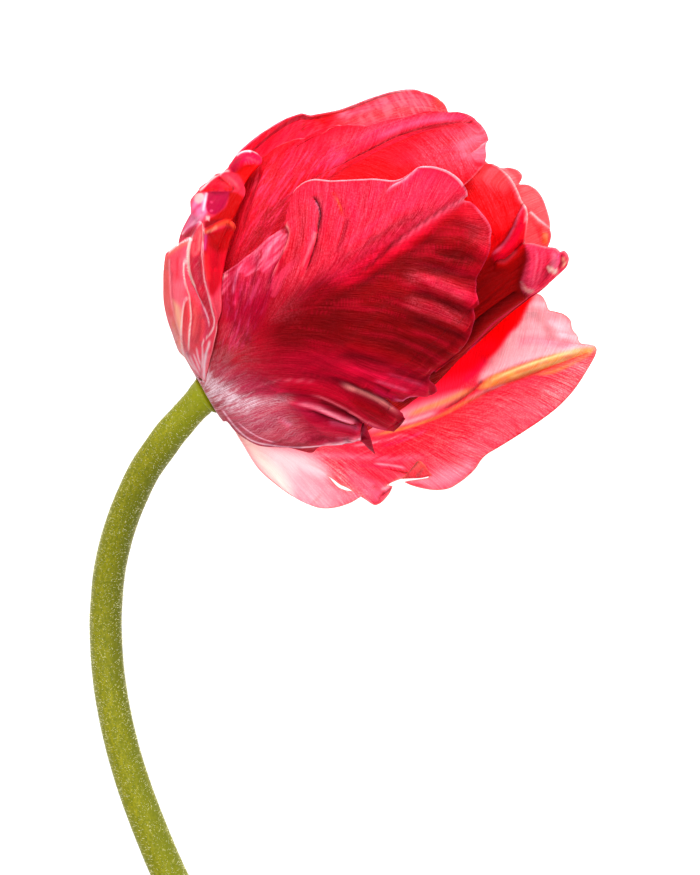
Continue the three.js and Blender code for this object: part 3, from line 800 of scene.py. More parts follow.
def front_paint(s):
    u, v, x, y, e = s.u, s.v, s.x, s.y, s.edge
    fan(s, [(150, 428), (180, 407), (208, 386), (232, 352), (255, 333), (282, 311), (308, 294), (333, 279), (358, 262), (383, 246), (407, 231), (430, 217.5), (444, 209), (456, 203), (470, 197)], 13, b=15)
    s.start(rgb(196, 6, 46))
    n1 = patches_noise(x, y, 26, 5)
    n2 = patches_noise(x, y, 9, 7)
    # lighter along the upper lobes
    s.area([(296, 182), (400, 176), (470, 188), (458, 202), (420, 222), (380, 244), (340, 268), (300, 290), (285, 262), (292, 220)], 22, rgb(232, 30, 62), 0.9)
    s.area([(300, 183), (345, 180), (400, 178), (436, 168), (466, 188), (430, 204), (390, 214), (345, 232), (318, 240), (294, 230)], 12, rgb(240, 50, 80), 0.8)
    s.area([(402, 181), (418, 169), (440, 168), (464, 187), (448, 203), (420, 214), (396, 214)], 7, rgb(238, 52, 86), 0.8)
    # the shaded hollow under the midrib
    s.area([(462, 214), (488, 232), (486, 262), (470, 300), (462, 345), (430, 372), (385, 368), (330, 352), (290, 345), (300, 318), (350, 284), (410, 245)], 20, rgb(160, 2, 18), 0.92)
    s.area([(440, 236), (470, 244), (476, 262), (452, 272), (400, 276), (360, 290), (345, 296), (385, 266)], 12, rgb(118, 1, 8), 0.85)
    s.area([(330, 305), (400, 296), (440, 330), (450, 350), (420, 366), (370, 352), (320, 335)], 14, rgb(126, 0, 8), 0.75)
    s.stroke([(452, 214), (425, 231), (395, 250), (360, 273), (325, 297), (290, 322)], 2.2, rgb(214, 10, 50), 0.7)
    s.stroke([(448, 222), (420, 240), (390, 262), (350, 290), (310, 318)], 2.4, rgb(120, 0, 14), 0.6)
    zone = s.shape_mask([(375, 222), (400, 212), (430, 203), (455, 192), (466, 190), (467, 197), (452, 204.5), (430, 218), (411, 230), (389, 246.5), (375, 260), (340, 283), (305, 305), (296, 296), (330, 262)], 6)
    st3 = streaks(x, y, 35, 26, 1.9, 371)
    s.area([(448, 206), (420, 221), (392, 240), (366, 262), (330, 290), (296, 318), (280, 306), (312, 276), (350, 248), (390, 224), (425, 208)], 9, rgb(196, 0, 46), 0.5)
    s.put(zone, rgb(224, 6, 60), 0.55)
    s.put(zone * smooth(0.5, 0.66, st3), rgb(252, 76, 104), 0.45)
    s.put(zone * smooth(0.48, 0.32, st3), rgb(196, 0, 56), 0.4)
    s.stroke([(425, 209), (395, 226), (362, 247), (332, 267)], 2.0, rgb(188, 4, 44), 0.4)
    # Painted shadow in the midrib crease, a painted highlight on its upper edge, a painted highlight band below it and
    # painted shade beneath that.
    s.stroke([(465, 198.3), (453, 205), (442, 211), (430.5, 218.3), (412, 230.5), (400.5, 238), (389.4, 247.2), (375, 261.7), (356, 276), (333, 291)], 2.0, rgb(112, 0, 22), 0.95, (0.02, 0.3))
    s.stroke([(461.7, 202), (446, 210.6), (430.5, 221), (419.4, 228.4), (408.3, 236), (397.2, 244.6), (384, 256)], 1.9, rgb(255, 132, 140), 0.75, (0.03, 0.4))
    s.stroke([(452.8, 209.6), (437.2, 220), (424, 229.4), (411.7, 238.6), (397, 250.6), (386, 260), (366, 274)], 2.4, rgb(226, 30, 66), 0.5, (0.05, 0.4))
    s.stroke([(462, 211), (446, 222), (431, 233), (416, 245), (402, 256), (390, 265), (370, 280)], 3.6, rgb(172, 0, 18), 0.7, (0.05, 0.4))
    s.stroke([(440, 229), (412, 246), (380, 268), (350, 288)], 2.2, rgb(190, 4, 34), 0.5)
    s.stroke([(410, 202), (380, 220), (350, 240), (326, 256)], 2.6, rgb(250, 80, 108), 0.4)
    # right-hand rim of the lower half
    s.area([(465, 203), (478, 207), (490, 225), (491, 246), (484, 250), (476, 226), (462, 214)], 6, rgb(214, 20, 48), 0.75)
    # Painted highlights on the cross ripples by the right-hand edge.
    for pts, w, k in (([(405, 275), (432, 282), (455, 291), (476, 302)], 3.6, 0.75), ([(420, 281), (445, 286), (470, 296)], 1.7, 0.7),
                      ([(415, 302), (435, 309), (452, 320)], 2.6, 0.5), ([(400, 262), (430, 266), (470, 276)], 2.4, 0.25),
                      ([(400, 330), (430, 336), (450, 346)], 2.2, 0.25), ([(380, 300), (410, 304), (440, 314)], 2.2, 0.2)):
        s.stroke(pts, w, rgb(236, 50, 84), k, (0.4, 0.05))
    # lobes on the left with their pale bloom
    s.area([(210, 288), (238, 266), (262, 244), (284, 227), (288, 234), (280, 258), (268, 285), (250, 320), (226, 345), (214, 330)], 9, rgb(206, 18, 62), 0.75)
    patch = s.shape_mask([(214, 287), (232, 272), (248, 256), (262, 244), (280, 231), (287, 236), (283, 250), (275, 264), (268, 273),
                          (256, 271), (247, 277), (238, 272), (228, 290), (218, 296)], 4)
    st = streaks(x, y, 48, 15, 1.7, 321)
    patch = smooth(0.3, 0.7, patch + 0.9 * (streaks(x, y, 70, 12, 2.4, 327) - 0.5))
    s.put(patch * (0.55 + 0.45 * smooth(0.35, 0.65, st)), rgb(248, 120, 138), 0.9)
    s.put(patch * smooth(0.55, 0.75, st), rgb(255, 176, 184), 0.5)
    s.put(patch * smooth(0.45, 0.3, st), rgb(232, 50, 84), 0.5)
    s.area([(236, 276), (262, 272), (278, 262), (268, 296), (256, 330), (238, 345), (228, 330), (230, 300)], 6, rgb(184, 6, 66), 0.6)
    veil = s.shape_mask([(228, 290), (262, 276), (276, 270), (262, 310), (246, 345), (226, 350), (222, 320)], 8)
    s.put(veil * smooth(0.5, 0.75, streaks(x, y, 74, 14, 2.0, 331)), rgb(240, 96, 130), 0.6)
    second = s.shape_mask([(306, 250), (300, 262), (290, 272), (282, 284), (277, 296), (271, 296), (275, 280), (284, 268), (294, 259)], 4)
    s.put(smooth(0.3, 0.7, second + 0.7 * (streaks(x, y, 56, 10, 1.8, 335) - 0.5)), rgb(250, 92, 112), 0.75)
    s.area([(302, 286), (326, 276), (348, 292), (345, 320), (318, 345), (286, 350), (270, 336), (282, 308)], 12, rgb(118, 0, 10), 0.72)
    s.stroke([(281, 233), (271, 247), (266, 259), (261, 270)], 1.2, rgb(255, 168, 172), 0.5)
    # Painted highlight along the upper-left edge of the front lobe.
    s.stroke([(211, 291), (214, 284), (222, 276), (234, 266.6), (248, 256), (262, 245), (274, 235.6), (284, 228)], 1.1, rgb(255, 170, 176), 0.6, (0.02, 0.05))
    s.stroke([(213, 287), (220, 280.4), (230, 273)], 1.6, rgb(255, 206, 200), 0.7)
    s.stroke([(244, 262), (239, 271), (235, 285), (234, 297)], 1.5, rgb(250, 160, 178), 0.7)
    # The folded lobe's edge: a painted highlight along it and painted shade to the right of it.
    s.stroke([(286, 224), (290, 231), (288, 243), (283, 256)], 1.5, rgb(255, 170, 150), 0.9, (0.02, 0.25))
    s.stroke([(286, 244), (282.6, 253), (279.4, 261), (276, 271), (272.4, 281)], 1.2, rgb(255, 160, 150), 0.85, (0.05, 0.4))
    s.stroke([(292, 232), (292, 244), (288, 256), (283, 268)], 2.2, rgb(196, 0, 34), 0.6)
    s.stroke([(261, 249), (262, 254), (261, 260)], 1.1, rgb(190, 6, 16), 0.9)
    s.area([(209, 290), (222, 300), (228, 322), (220, 340), (214, 330), (216, 312)], 5, rgb(232, 60, 66), 0.6)
    s.area([(297, 206), (312, 205), (314, 235), (305, 262), (290, 262), (293, 232)], 6, rgb(224, 2, 44), 0.6)
    # slits: slit one is painted shadow, with painted highlights along its left edge and painted shade along its lower
    # part; slit two is red with an orange line and darker below
    s.stroke([(310.5, 195), (316.5, 203), (319.2, 214), (318, 223), (317, 230)], 2.6, rgb(6, 0, 2), 1.0, (0.08, 0.12))
    s.stroke([(314, 200), (317.6, 208), (319.6, 216)], 0.8, rgb(120, 110, 120), 0.8, (0.1, 0.3))
    s.stroke([(318, 230), (316.5, 240), (312.6, 252), (307.4, 266), (301, 280)], 1.7, rgb(158, 0, 22), 0.85, (0.1, 0.4))
    s.stroke([(315.2, 231), (313, 240), (309.4, 250), (304.6, 262), (299, 275)], 1.1, rgb(255, 128, 120), 0.85, (0.05, 0.3))
    s.stroke([(331.5, 191), (336, 199), (340.5, 210), (343, 220)], 2.6, rgb(240, 0, 4), 1.0, (0.1, 0.2))
    s.stroke([(335, 196), (339, 204), (342, 212)], 0.9, rgb(255, 150, 60), 0.7)
    s.stroke([(343, 218), (342, 232), (338, 245), (332, 258)], 1.8, rgb(170, 2, 34), 0.8, (0.1, 0.4))
    s.stroke([(306, 200), (309, 214), (308, 228), (303, 246)], 3, rgb(216, 10, 44), 0.6)
    s.stroke([(328, 205), (330, 220), (327, 236), (320, 252)], 3, rgb(214, 8, 44), 0.6)
    s.stroke([(322, 196), (325, 208), (324, 222)], 1.6, rgb(252, 100, 116), 0.6)
    # the lobe that folds over near the tip, with a painted highlight along the fold
    s.stroke([(418, 168), (405, 180), (392, 187), (384, 196)], 1.9, rgb(255, 196, 200), 0.85, (0.05, 0.3))
    s.stroke([(402, 186), (390, 195), (382, 206)], 2.6, rgb(206, 10, 46), 0.5)
    # the purple-crimson belly and the fingers
    s.area([(255, 355), (330, 350), (400, 368), (432, 378), (436, 392), (405, 420), (375, 430), (360, 442), (300, 446), (240, 430), (222, 400)], 18, rgb(190, 4, 56), 0.85)
    s.area([(222, 372), (262, 385), (310, 405), (345, 430), (340, 446), (290, 447), (250, 442), (228, 420)], 14, rgb(214, 62, 100), 0.6)
    s.area([(216, 360), (262, 378), (285, 398), (270, 430), (236, 424), (210, 392)], 12, rgb(214, 70, 108), 0.35)
    s.area([(294, 383), (335, 385), (372, 403), (400, 418), (384, 429), (350, 412), (310, 398)], 6, rgb(196, 8, 52), 0.8)
    s.area([(288, 412), (330, 418), (358, 430), (356, 440), (325, 440), (296, 428)], 6, rgb(190, 20, 62), 0.7)
    # Among the finger strokes, the dark ones are painted shadow in the gaps between the fingers and the pale ones are
    # painted highlights along their edges.
    for pts, w, col, k in (([(340, 382), (356, 387), (372, 394), (386, 401), (396, 405)], 2.2, rgb(96, 0, 14), 0.95),
                           ([(316, 400), (335, 407.5), (350, 415), (363, 423)], 1.6, rgb(120, 0, 36), 0.9),
                           ([(309, 409), (322, 414.5), (340, 421), (356, 424.5)], 1.0, rgb(60, 0, 14), 0.95),
                           ([(337, 381.5), (350, 387.5), (363, 393), (376, 399), (388, 406), (398, 412.5), (402, 416)], 2.1, rgb(255, 186, 166), 1.0),
                           ([(306, 394), (322, 397.5), (345, 408.5), (366, 421), (380, 427), (392, 430)], 1.3, rgb(255, 140, 140), 0.95),
                           ([(292, 402), (315, 406.5), (335, 415), (348, 420.6), (362, 422.6)], 2.2, rgb(255, 164, 170), 1.0),
                           ([(366, 424), (376, 428), (388, 430)], 1.2, rgb(222, 110, 140), 0.6),
                           ([(372, 374), (392, 380), (414, 386.5), (434, 390)], 4.5, rgb(244, 44, 84), 0.85), ([(372, 378), (390, 384), (410, 390)], 1.2, rgb(255, 130, 150), 0.7), ([(384, 372), (404, 379), (426, 386)], 1.1, rgb(255, 130, 150), 0.6), ([(344, 366), (366, 371), (388, 379)], 1.6, rgb(240, 40, 84), 0.7),
                           ([(346, 397), (366, 405), (382, 412), (392, 418)], 4, rgb(176, 0, 22), 0.7),
                           ([(352, 436), (360, 437)], 2.0, rgb(250, 110, 110), 0.7),
                           ([(352, 403), (372, 412), (390, 423)], 1.4, rgb(150, 2, 30), 0.7),
                           ([(372, 386), (384, 394), (400, 399)], 2.6, rgb(186, 40, 86), 0.6),
                           ([(392, 398), (402, 400.5), (409, 396), (420, 395)], 0.9, rgb(240, 150, 170), 0.8),
                           ([(400, 419), (404, 418), (398, 427)], 2.4, rgb(110, 0, 40), 0.7),
                           ([(362, 424), (364, 432), (358, 438), (340, 442), (318, 444)], 1.6, rgb(240, 190, 190), 0.9),
                           ([(326, 421), (345, 425), (362, 429)], 2.4, rgb(244, 130, 150), 0.7), ([(334, 438), (350, 437), (361, 434)], 2.2, rgb(238, 140, 150), 0.6),
                           ([(414, 368), (424, 369), (432, 370), (434, 374)], 0.8, rgb(224, 60, 80), 0.8),
                           ([(300, 360), (340, 362), (380, 372), (420, 384)], 2.4, rgb(194, 10, 58), 0.5),
                           ([(320, 350), (360, 352), (400, 362)], 2.2, rgb(186, 6, 48), 0.4),
                           ([(310, 368), (340, 372), (365, 382)], 2.0, rgb(120, 0, 30), 0.5)):
        s.stroke(pts, w, col, k)
    s.stroke([(248, 390), (264, 384), (280, 380), (300, 380), (318, 381)], 1.0, rgb(240, 170, 160), 0.4)
    s.stroke([(362, 441), (367, 447), (373, 452)], 1.0, rgb(255, 210, 210), 0.8)
    s.area([(363, 425), (376, 453), (361, 441)], 2, rgb(176, 20, 60), 0.8)
    s.area([(280, 446), (318, 445), (312, 452)], 1.5, rgb(196, 60, 60), 0.8)
    s.stroke([(222, 408), (236, 427), (252, 440), (272, 445), (300, 447), (325, 444.6), (358, 441)], 0.8, rgb(252, 226, 232), 0.95, (0.02, 0.05))
    s.stroke([(236, 420), (248, 430), (262, 438), (278, 443)], 0.7, rgb(252, 226, 232), 0.8)
    s.stroke([(281, 418), (286, 421), (292, 425)], 2.2, rgb(228, 140, 158), 0.8)
    # streaks along the veins
    p, q = s.vein[..., 0], s.vein[..., 1]
    st2 = 0.6 * value_noise(p * 7, q * 62, 351) + 0.4 * value_noise(p * 13, q * 140, 352)
    s.put(smooth(0.55, 0.72, st2), rgb(232, 26, 72), 0.32)
    s.put(smooth(0.46, 0.28, st2) * (0.3 + 0.7 * smooth(0, 60, (y - 255) + 0.62 * (x - 380))), rgb(124, 0, 26), 0.36)
    # pale rim: a painted highlight along the free edge, near white on the upper lobes and pink below
    rim = np.exp(-((e / 0.22) ** 2)) * smooth(0.5, 0.9, u)
    top = 1 - smooth(196, 206, y)
    s.put(rim * top, rgb(255, 200, 200), 0.9)
    s.put(rim * (1 - top), rgb(240, 90, 110), 0.5)
    s.stroke([(471, 203), (480, 211), (488, 222), (491, 231), (490, 244)], 1.0, rgb(255, 140, 150), 0.7)
    s.stroke([(463, 184), (466.5, 191), (466, 197)], 1.3, rgb(96, 0, 50), 0.75, (0.1, 0.1))
    st = smooth(0.4, 0.62, streaks(x, y, 33, 11, 1.8, 341))
    bloom = 0.8 * np.exp(-((u / 0.06) ** 2)) + 0.75 * s.shape_mask([(200, 368), (216, 378), (234, 388), (254, 398), (250, 410), (228, 408), (206, 394)], 8) * (0.2 + 0.8 * st) \
        + 0.9 * s.line_mask([(205, 356), (206, 372), (212, 384), (226, 393), (244, 402)], 4, (0.02, 0.25)) \
        + 0.3 * np.exp(-(np.hypot(x - 206, y - 388) / 40) ** 2) * (0.4 + 0.6 * st) \
        + 0.4 * s.line_mask([(236, 404), (262, 401), (300, 400)], 5, (0.05, 0.4)) \
        + 0.3 * s.shape_mask([(228, 396), (262, 402), (290, 412), (300, 436), (268, 440), (240, 424)], 12) * (0.6 + 0.4 * n1)
    low = s.shape_mask([(225, 395), (262, 395), (305, 420), (345, 440), (300, 446), (250, 438)], 12)
    vis = 0.85 - 0.3 * low
    upper = s.shape_mask([(296, 182), (400, 176), (470, 188), (440, 212), (380, 240), (330, 270), (290, 280), (285, 240)], 14)
    left = s.shape_mask([(212, 290), (262, 246), (285, 230), (300, 300), (270, 340), (220, 350)], 14)
    tip = s.shape_mask([(466, 202), (492, 230), (490, 250), (470, 240)], 7)
    hollow = s.shape_mask([(440, 232), (488, 240), (476, 300), (462, 345), (430, 372), (385, 368), (300, 360), (280, 330), (320, 300), (400, 250)], 24)
    # Pink streaks that are partly painted sheen: on the upper lobes, the tip and the low belly, in flecks on the left
    # lobes, and painted highlights on two ripples by the right-hand edge.
    pink_and_sheen = 0.34 * upper + 0.2 * left * n1 + 0.12 * tip + 0.2 * low + 0.02
    pink_and_sheen += 0.35 * s.line_mask([(400, 276), (435, 283), (474, 300)], 6) + 0.3 * s.line_mask([(400, 300), (440, 312), (470, 326)], 6)
    s.mask = np.stack([np.clip(bloom, 0, 1), vis, np.clip(pink_and_sheen, 0, 1)], -1)
    # Painted shade in the light passing through the hollow under the midrib.
    s.glow = s.c * 0.75 + rgb(226, 2, 14) * 0.25 * (1 - hollow[..., None])


def petal_front():
    make_petal(dict(
        name="petal_front", node="outer_petal_front", slot="petal_red", mat=petal_material("petal_front_red", 0.3, 0.4, 0.75, 170), n=(168, 396),
        base=arc(-30, 74, 0), gain=(0.8, 0.9, 0.9), even=0.06, settle=0.12, power=1.4, front_only=True,
        left=[U(201.6, 381), U(202.6, 377), U(204, 372), U(206.5, 365), U(213, 345), U(216, 318, 0.2)],
        rim=[U(210, 287, 0), U(214, 281, 0.1), U(223, 274, 0.2), U(236, 265, 0.3), U(250, 254, 0.4), U(262, 243, 0.5),
             U(274, 234, 0.7), U(282, 227.5, 0.9), C(287, 223.5, 1.1), U(290.5, 215, 0.7), U(292, 203, 0.8),
             U(293, 194, 0.9), U(298, 187, 1), U(306, 181.5, 1), U(317, 179, 1), U(330, 180.5, 0.9), U(342, 180.5, 0.9),
             U(356, 179.3, 0.9), U(370, 179, 0.9), U(380, 179.3, 0.9), U(392, 180, 0.7), U(400, 178.6, 0.8), U(408, 174, 1),
             U(417, 168, 1.1), U(431, 166.5, 1.1), U(444, 169.5, 1), U(452, 173.5, 0.9), U(460, 180, 0.7), U(465, 187, 0.6),
             U(467.5, 192, 0.5), U(467.6, 196.5, 0.3), U(468.4, 200, 0.2), U(471, 202.6, 0.3), U(475, 205.5, 0.4),
             U(482, 213.5, 0.5), U(488.5, 222, 0.5), U(491.5, 230, 0.5), U(490.5, 238, 0.3), U(490.5, 246, 0.3), U(488, 255, 0.3),
             U(484, 264, 0.3), U(480.5, 271, 0.3), U(477, 278, 0.4), U(476.5, 285, 0.4), U(476, 292, 0.4), C(479.3, 303.3, 0.6),
             U(474, 308.5, 0.3), U(475.3, 318, 0.3), U(472.5, 328, 0.3), U(467, 341, 0.3), U(460, 351, 0.3), U(449, 361, 0.2),
             U(439, 368, 0.2), U(434.5, 372, 0.3), U(433.5, 380, 0.3), C(437.8, 390.8, 0.5), U(422, 404, 0.4), C(405.4, 418.4, 0.5),
             U(400.8, 424.6, 0.4), C(394.6, 430.6, 0.4), U(386, 442, 0.5), C(376.9, 454.4, 0.6), U(345, 456, 0.4), U(312, 453.4, 0.3),
             U(285, 449.5, 0.2), U(258, 445.6, 0.2)],
        right=[U(226, 421), U(234, 430), U(244, 438, 0.1)],
        columns=((0.22, 0.07, 0.8), (0.61, 0.07, 1.3), (0.8, 0.1, 0.5)), rows=((0.78, 0.28, 0.9),),
        cuts=[[(460.5, 200.2), (464.5, 198.4), (468.5, 195.5), (474, 195), (474, 201.5), (469.5, 201.9), (464.5, 201.2)], [(407, 403), (403, 401.2), (396, 401.8), (389, 399.8), (381, 396.2), (374, 393.2), (374, 394.2), (382, 398.4), (391, 404.0), (399, 410.5), (407, 416)],
              [(369, 426.5), (364, 422.3), (357, 417.8), (350, 414.2), (349.5, 414.9), (356, 419), (363, 423.8), (366.5, 427.4)],
              [(357.5, 424.8), (344, 422.6), (331, 417.4), (320, 412.8), (319.7, 413.5), (331, 418.6), (344, 424), (357.5, 426)],
              [(433.8, 371), (431, 374), (429, 378.4), (433, 383.6), (440, 386), (442, 376)],
              [(439, 391), (430, 395.2), (416, 395.5), (408, 397.2), (403.6, 400.8), (400.2, 404.2), (402, 411), (405.6, 419), (414, 418), (432, 402)],
              [(395.2, 431.6), (386, 430.3), (377, 428.6), (367.4, 426.2), (371.2, 439), (377.2, 456), (386, 452), (396, 440)],
              [(377.4, 456), (368, 448.2), (360.5, 441.2), (349, 443.2), (337, 444.7), (325, 445.2), (319, 446.8), (312, 452.4), (300, 450.2), (290, 447.7),
               (281, 447.2), (270, 446.7), (258, 445), (244, 437.6), (234, 429.6), (226, 420.6), (220, 428), (236, 452), (262, 466), (320, 474), (380, 474)]],
        relight=0.9, crease=1.0, relief=front_relief, paint=front_paint))


def open_relief(s):
    u, v = s.u, s.v
    mid = [(592, 351), (573, 357.5), (543, 369.5), (518, 379.5), (490, 391.5), (468, 404), (444, 417), (412, 428), (385, 434), (350, 440), (310, 446), (270, 446)]
    s.ridge(mid, 3.2, -0.55, (0.04, 0.5))
    s.ridge([(585, 350), (560, 357), (523, 369), (495, 380), (470, 393), (440, 408), (405, 420)], 7, 0.55, (0.05, 0.4))
    s.ridge([(586, 362), (560, 374), (525, 388), (490, 404), (455, 421)], 7, 0.35, (0.1, 0.4))
    s.ridge([(484, 379), (478, 387), (468, 395), (452, 406), (436, 415)], 2.6, -0.9, (0.1, 0.3))
    s.ridge([(520, 300), (512, 325), (498, 345), (480, 362)], 9, 0.8)
    # folds of the lower margin
    s.step([(372, 466), (388, 469), (405, 472), (420, 474)], 8, -0.5, 1.0, (0.3, 0.02))
    s.ridge([(340, 452), (362, 462), (384, 474), (392, 482)], 5, 0.5, (0.3, 0.05))
    s.step([(300, 462), (325, 472), (345, 485), (361, 496)], 7, 0.7, 1.0, (0.3, 0.02))
    s.ridge([(310, 456), (340, 470), (365, 488), (375, 500)], 5, -0.4, (0.3, 0.05))
    s.ridge([(372, 486), (380, 492), (386, 494)], 3.0, -0.8)
    s.step([(378, 503), (380, 496), (386, 492), (391, 487)], 5, -0.6, 0.8, (0.02, 0.1))
    s.ridge([(265, 452), (290, 475), (318, 500)], 8, 0.5, (0.3, 0.05))
    s.ridge([(440, 440), (462, 458), (470, 474)], 8, 0.5, (0.3, 0.05))
    s.ridge([(480, 425), (505, 436), (520, 434)], 7, -0.5, (0.3, 0.05))
    s.ridge([(545, 320), (556, 330), (566, 344)], 6, 0.5)
    s.ridge([(530, 310), (545, 330), (552, 348)], 5, -0.4)
    # a ruffled free edge
    n = value_noise(v * 40, u * 2.0, 31) - 0.5
    s.h += (0.35 + 0.6 * smooth(370, 420, s.y)) * n * smooth(0.75, 1.0, u)
    n = value_noise(v * 95, u * 4.0, 32) - 0.5
    s.h += 0.14 * n * smooth(0.6, 1.0, u)


def open_paint(s):
    u, v, x, y, e = s.u, s.v, s.x, s.y, s.edge
    n1, n2 = patches_noise(x, y, 20, 41), patches_noise(x, y, 8, 43)
    fan(s, [(190, 440), (240, 447), (270, 447), (310, 447), (350, 441), (385, 434), (412, 428), (444, 417), (468, 404), (490, 391.5), (518, 379.5), (543, 369.5), (573, 357.5), (594, 350)], 9)
    s.start(rgb(252, 70, 96))
    # pale upper half
    s.area([(534, 290), (560, 308), (578, 330), (598, 344), (596, 350), (560, 354), (523, 363), (488, 378), (478, 382), (484, 364), (503, 342), (520, 322), (527, 305)], 3.5, rgb(255, 216, 216), 0.97)
    s.area([(540, 296), (568, 315), (580, 340), (560, 348), (540, 350), (530, 330), (532, 306)], 10, rgb(255, 208, 208), 0.6)
    s.stroke([(512, 345), (530, 340), (560, 344), (580, 347)], 5, rgb(252, 176, 190), 0.5)
    # the red side against the inner petals: painted shade where the inner petals lie over this one
    s.area([(536, 292), (531, 302), (525, 312), (520, 323), (510, 332), (503, 343), (497, 351), (488, 359), (481, 368), (462, 384), (436, 396), (404, 410), (380, 400), (420, 350), (500, 290)], 3.0, rgb(250, 4, 22), 1.0)
    s.area([(500, 345), (484, 364), (466, 380), (430, 398), (404, 406), (412, 384), (450, 350), (486, 338)], 12, rgb(250, 26, 52), 0.8)
    s.area([(470, 374), (462, 388), (430, 404), (400, 418), (396, 404), (430, 386)], 9, rgb(252, 76, 104), 0.85)
    s.stroke([(490, 356), (478, 370), (462, 384)], 4.5, rgb(250, 50, 110), 0.6)
    s.area([(396, 412), (430, 400), (462, 392), (446, 404), (410, 418), (372, 432), (366, 426)], 6, rgb(255, 196, 200), 0.9)
    s.stroke([(596, 350), (592, 364), (584, 380), (572, 397), (556, 415), (538, 432), (516, 448), (495, 459), (482, 468)], 2.2, rgb(214, 20, 44), 0.55, (0.05, 0.2))
    # yellow-orange midrib
    stripe = s.shape_mask([(596, 346.5), (577, 349), (547, 356.6), (523, 364.5), (506.6, 370), (488, 378.5), (478, 388), (481, 390), (506.6, 383), (533, 375), (553, 367.5), (573, 360), (591, 354)], 2.4)
    s.put(stripe * (0.75 + 0.25 * n2), rgb(255, 200, 104), 0.97)
    s.put(stripe * smooth(0.5, 0.7, streaks(x, y, 20, 12, 1.8, 363)), rgb(255, 164, 70), 0.5)
    s.stroke([(586, 350), (560, 355), (534, 363), (508, 373), (486, 384)], 1.6, rgb(255, 240, 176), 0.85)
    s.stroke([(574, 357), (552, 363), (528, 371), (504, 380)], 1.2, rgb(255, 226, 150), 0.8)
    s.stroke([(560, 353.5), (540, 359), (520, 366), (500, 374)], 0.8, rgb(248, 150, 78), 0.6)
    s.stroke([(566, 362), (545, 368.5), (522, 377), (498, 386)], 0.9, rgb(244, 120, 70), 0.6)
    s.area([(591, 355), (573, 362), (555, 369), (538, 375), (556, 373), (584, 359)], 2.4, rgb(255, 176, 96), 0.9)
    s.stroke([(592, 352), (573, 359), (543, 370.5), (518, 380.5), (490, 392.5), (468, 405), (444, 418)], 0.9, rgb(214, 60, 48), 0.8, (0.05, 0.2))
    s.stroke([(484, 379.5), (478, 387), (468, 395), (452, 406)], 1.2, rgb(206, 30, 40), 0.75)
    s.stroke([(478, 386), (462, 394), (444, 402), (420, 411), (404, 418)], 3.0, rgb(255, 190, 120), 0.9)
    s.stroke([(492, 389), (468, 401), (444, 414.5), (412, 426), (385, 433), (366, 437)], 1.9, rgb(255, 200, 104), 0.95)
    s.stroke([(470, 405.5), (444, 419), (412, 430), (380, 437.5)], 1.1, rgb(206, 40, 50), 0.7)
    s.stroke([(440, 411), (412, 421), (384, 428)], 2.4, rgb(255, 214, 216), 0.85)
    s.stroke([(510, 382.6), (494, 387.6), (480, 393), (464, 402)], 1.5, rgb(255, 196, 186), 0.8)
    # deep pink streaks under the midrib
    s.stroke([(500, 393), (470, 410), (440, 428), (415, 441), (390, 450), (368, 452)], 9, rgb(250, 4, 60), 0.9)
    s.stroke([(520, 388), (495, 404), (462, 424), (430, 440)], 7, rgb(250, 14, 66), 0.8)
    s.stroke([(540, 384), (505, 404), (470, 428), (435, 448), (400, 456)], 5, rgb(250, 40, 84), 0.6)
    s.stroke([(378, 447), (400, 441), (430, 430)], 2.2, rgb(252, 60, 130), 0.7)
    s.stroke([(350, 447), (380, 442), (410, 434)], 1.4, rgb(255, 204, 210), 0.75)
    s.stroke([(300, 455), (330, 456), (370, 458), (400, 459), (430, 455)], 3.0, rgb(255, 160, 176), 0.55)
    s.stroke([(350, 466), (372, 467), (392, 470), (404, 472)], 1.8, rgb(236, 40, 100), 0.75)
    s.stroke([(372, 464), (392, 466), (408, 469)], 1.2, rgb(255, 214, 220), 0.65)
    s.area([(470, 410), (540, 385), (580, 366), (590, 362), (575, 388), (540, 418), (500, 445), (478, 462), (450, 484), (420, 486), (470, 440)], 8, rgb(253, 120, 124), 0.55)
    s.area([(400, 478), (440, 470), (470, 462), (468, 474), (440, 488), (415, 486)], 8, rgb(255, 170, 176), 0.8)
    st = streaks(x, y, 26, 30, 1.9, 361)
    zone = s.shape_mask([(366, 438), (412, 428), (444, 417), (468, 404), (490, 392), (512, 384), (510, 404), (480, 432), (450, 448), (420, 460), (385, 464), (356, 458)], 8)
    s.put(zone * smooth(0.52, 0.7, st), rgb(255, 150, 140), 0.25)
    s.put(zone * smooth(0.48, 0.3, st), rgb(240, 0, 70), 0.7)
    s.stroke([(388, 454), (415, 449.6), (437, 444), (460, 435), (480, 421), (496, 406)], 4.2, rgb(238, 0, 70), 0.8)
    # cream where it meets the stem
    s.area([(224, 410), (250, 450), (286, 494), (330, 510), (330, 490), (300, 462), (276, 446), (250, 430)], 14, rgb(255, 214, 214), 0.9)
    s.area([(222, 410), (238, 440), (262, 474), (292, 498), (284, 474), (262, 450), (244, 430)], 9, rgb(255, 246, 236), 0.95)
    s.area([(262, 448), (300, 452), (320, 462), (330, 478), (300, 476), (275, 462)], 8, rgb(255, 240, 238), 0.8)
    s.area([(300, 470), (345, 490), (358, 498), (330, 508), (300, 500)], 8, rgb(255, 186, 190), 0.7)
    s.area([(345, 466), (372, 480), (390, 486), (386, 498), (370, 500), (352, 484)], 6, rgb(254, 140, 156), 0.75)
    s.stroke([(378, 500), (380, 495), (387, 492)], 1.3, rgb(226, 70, 90), 0.8)
    s.stroke([(392, 482), (388, 487), (380, 490)], 1.5, rgb(255, 214, 210), 0.7)
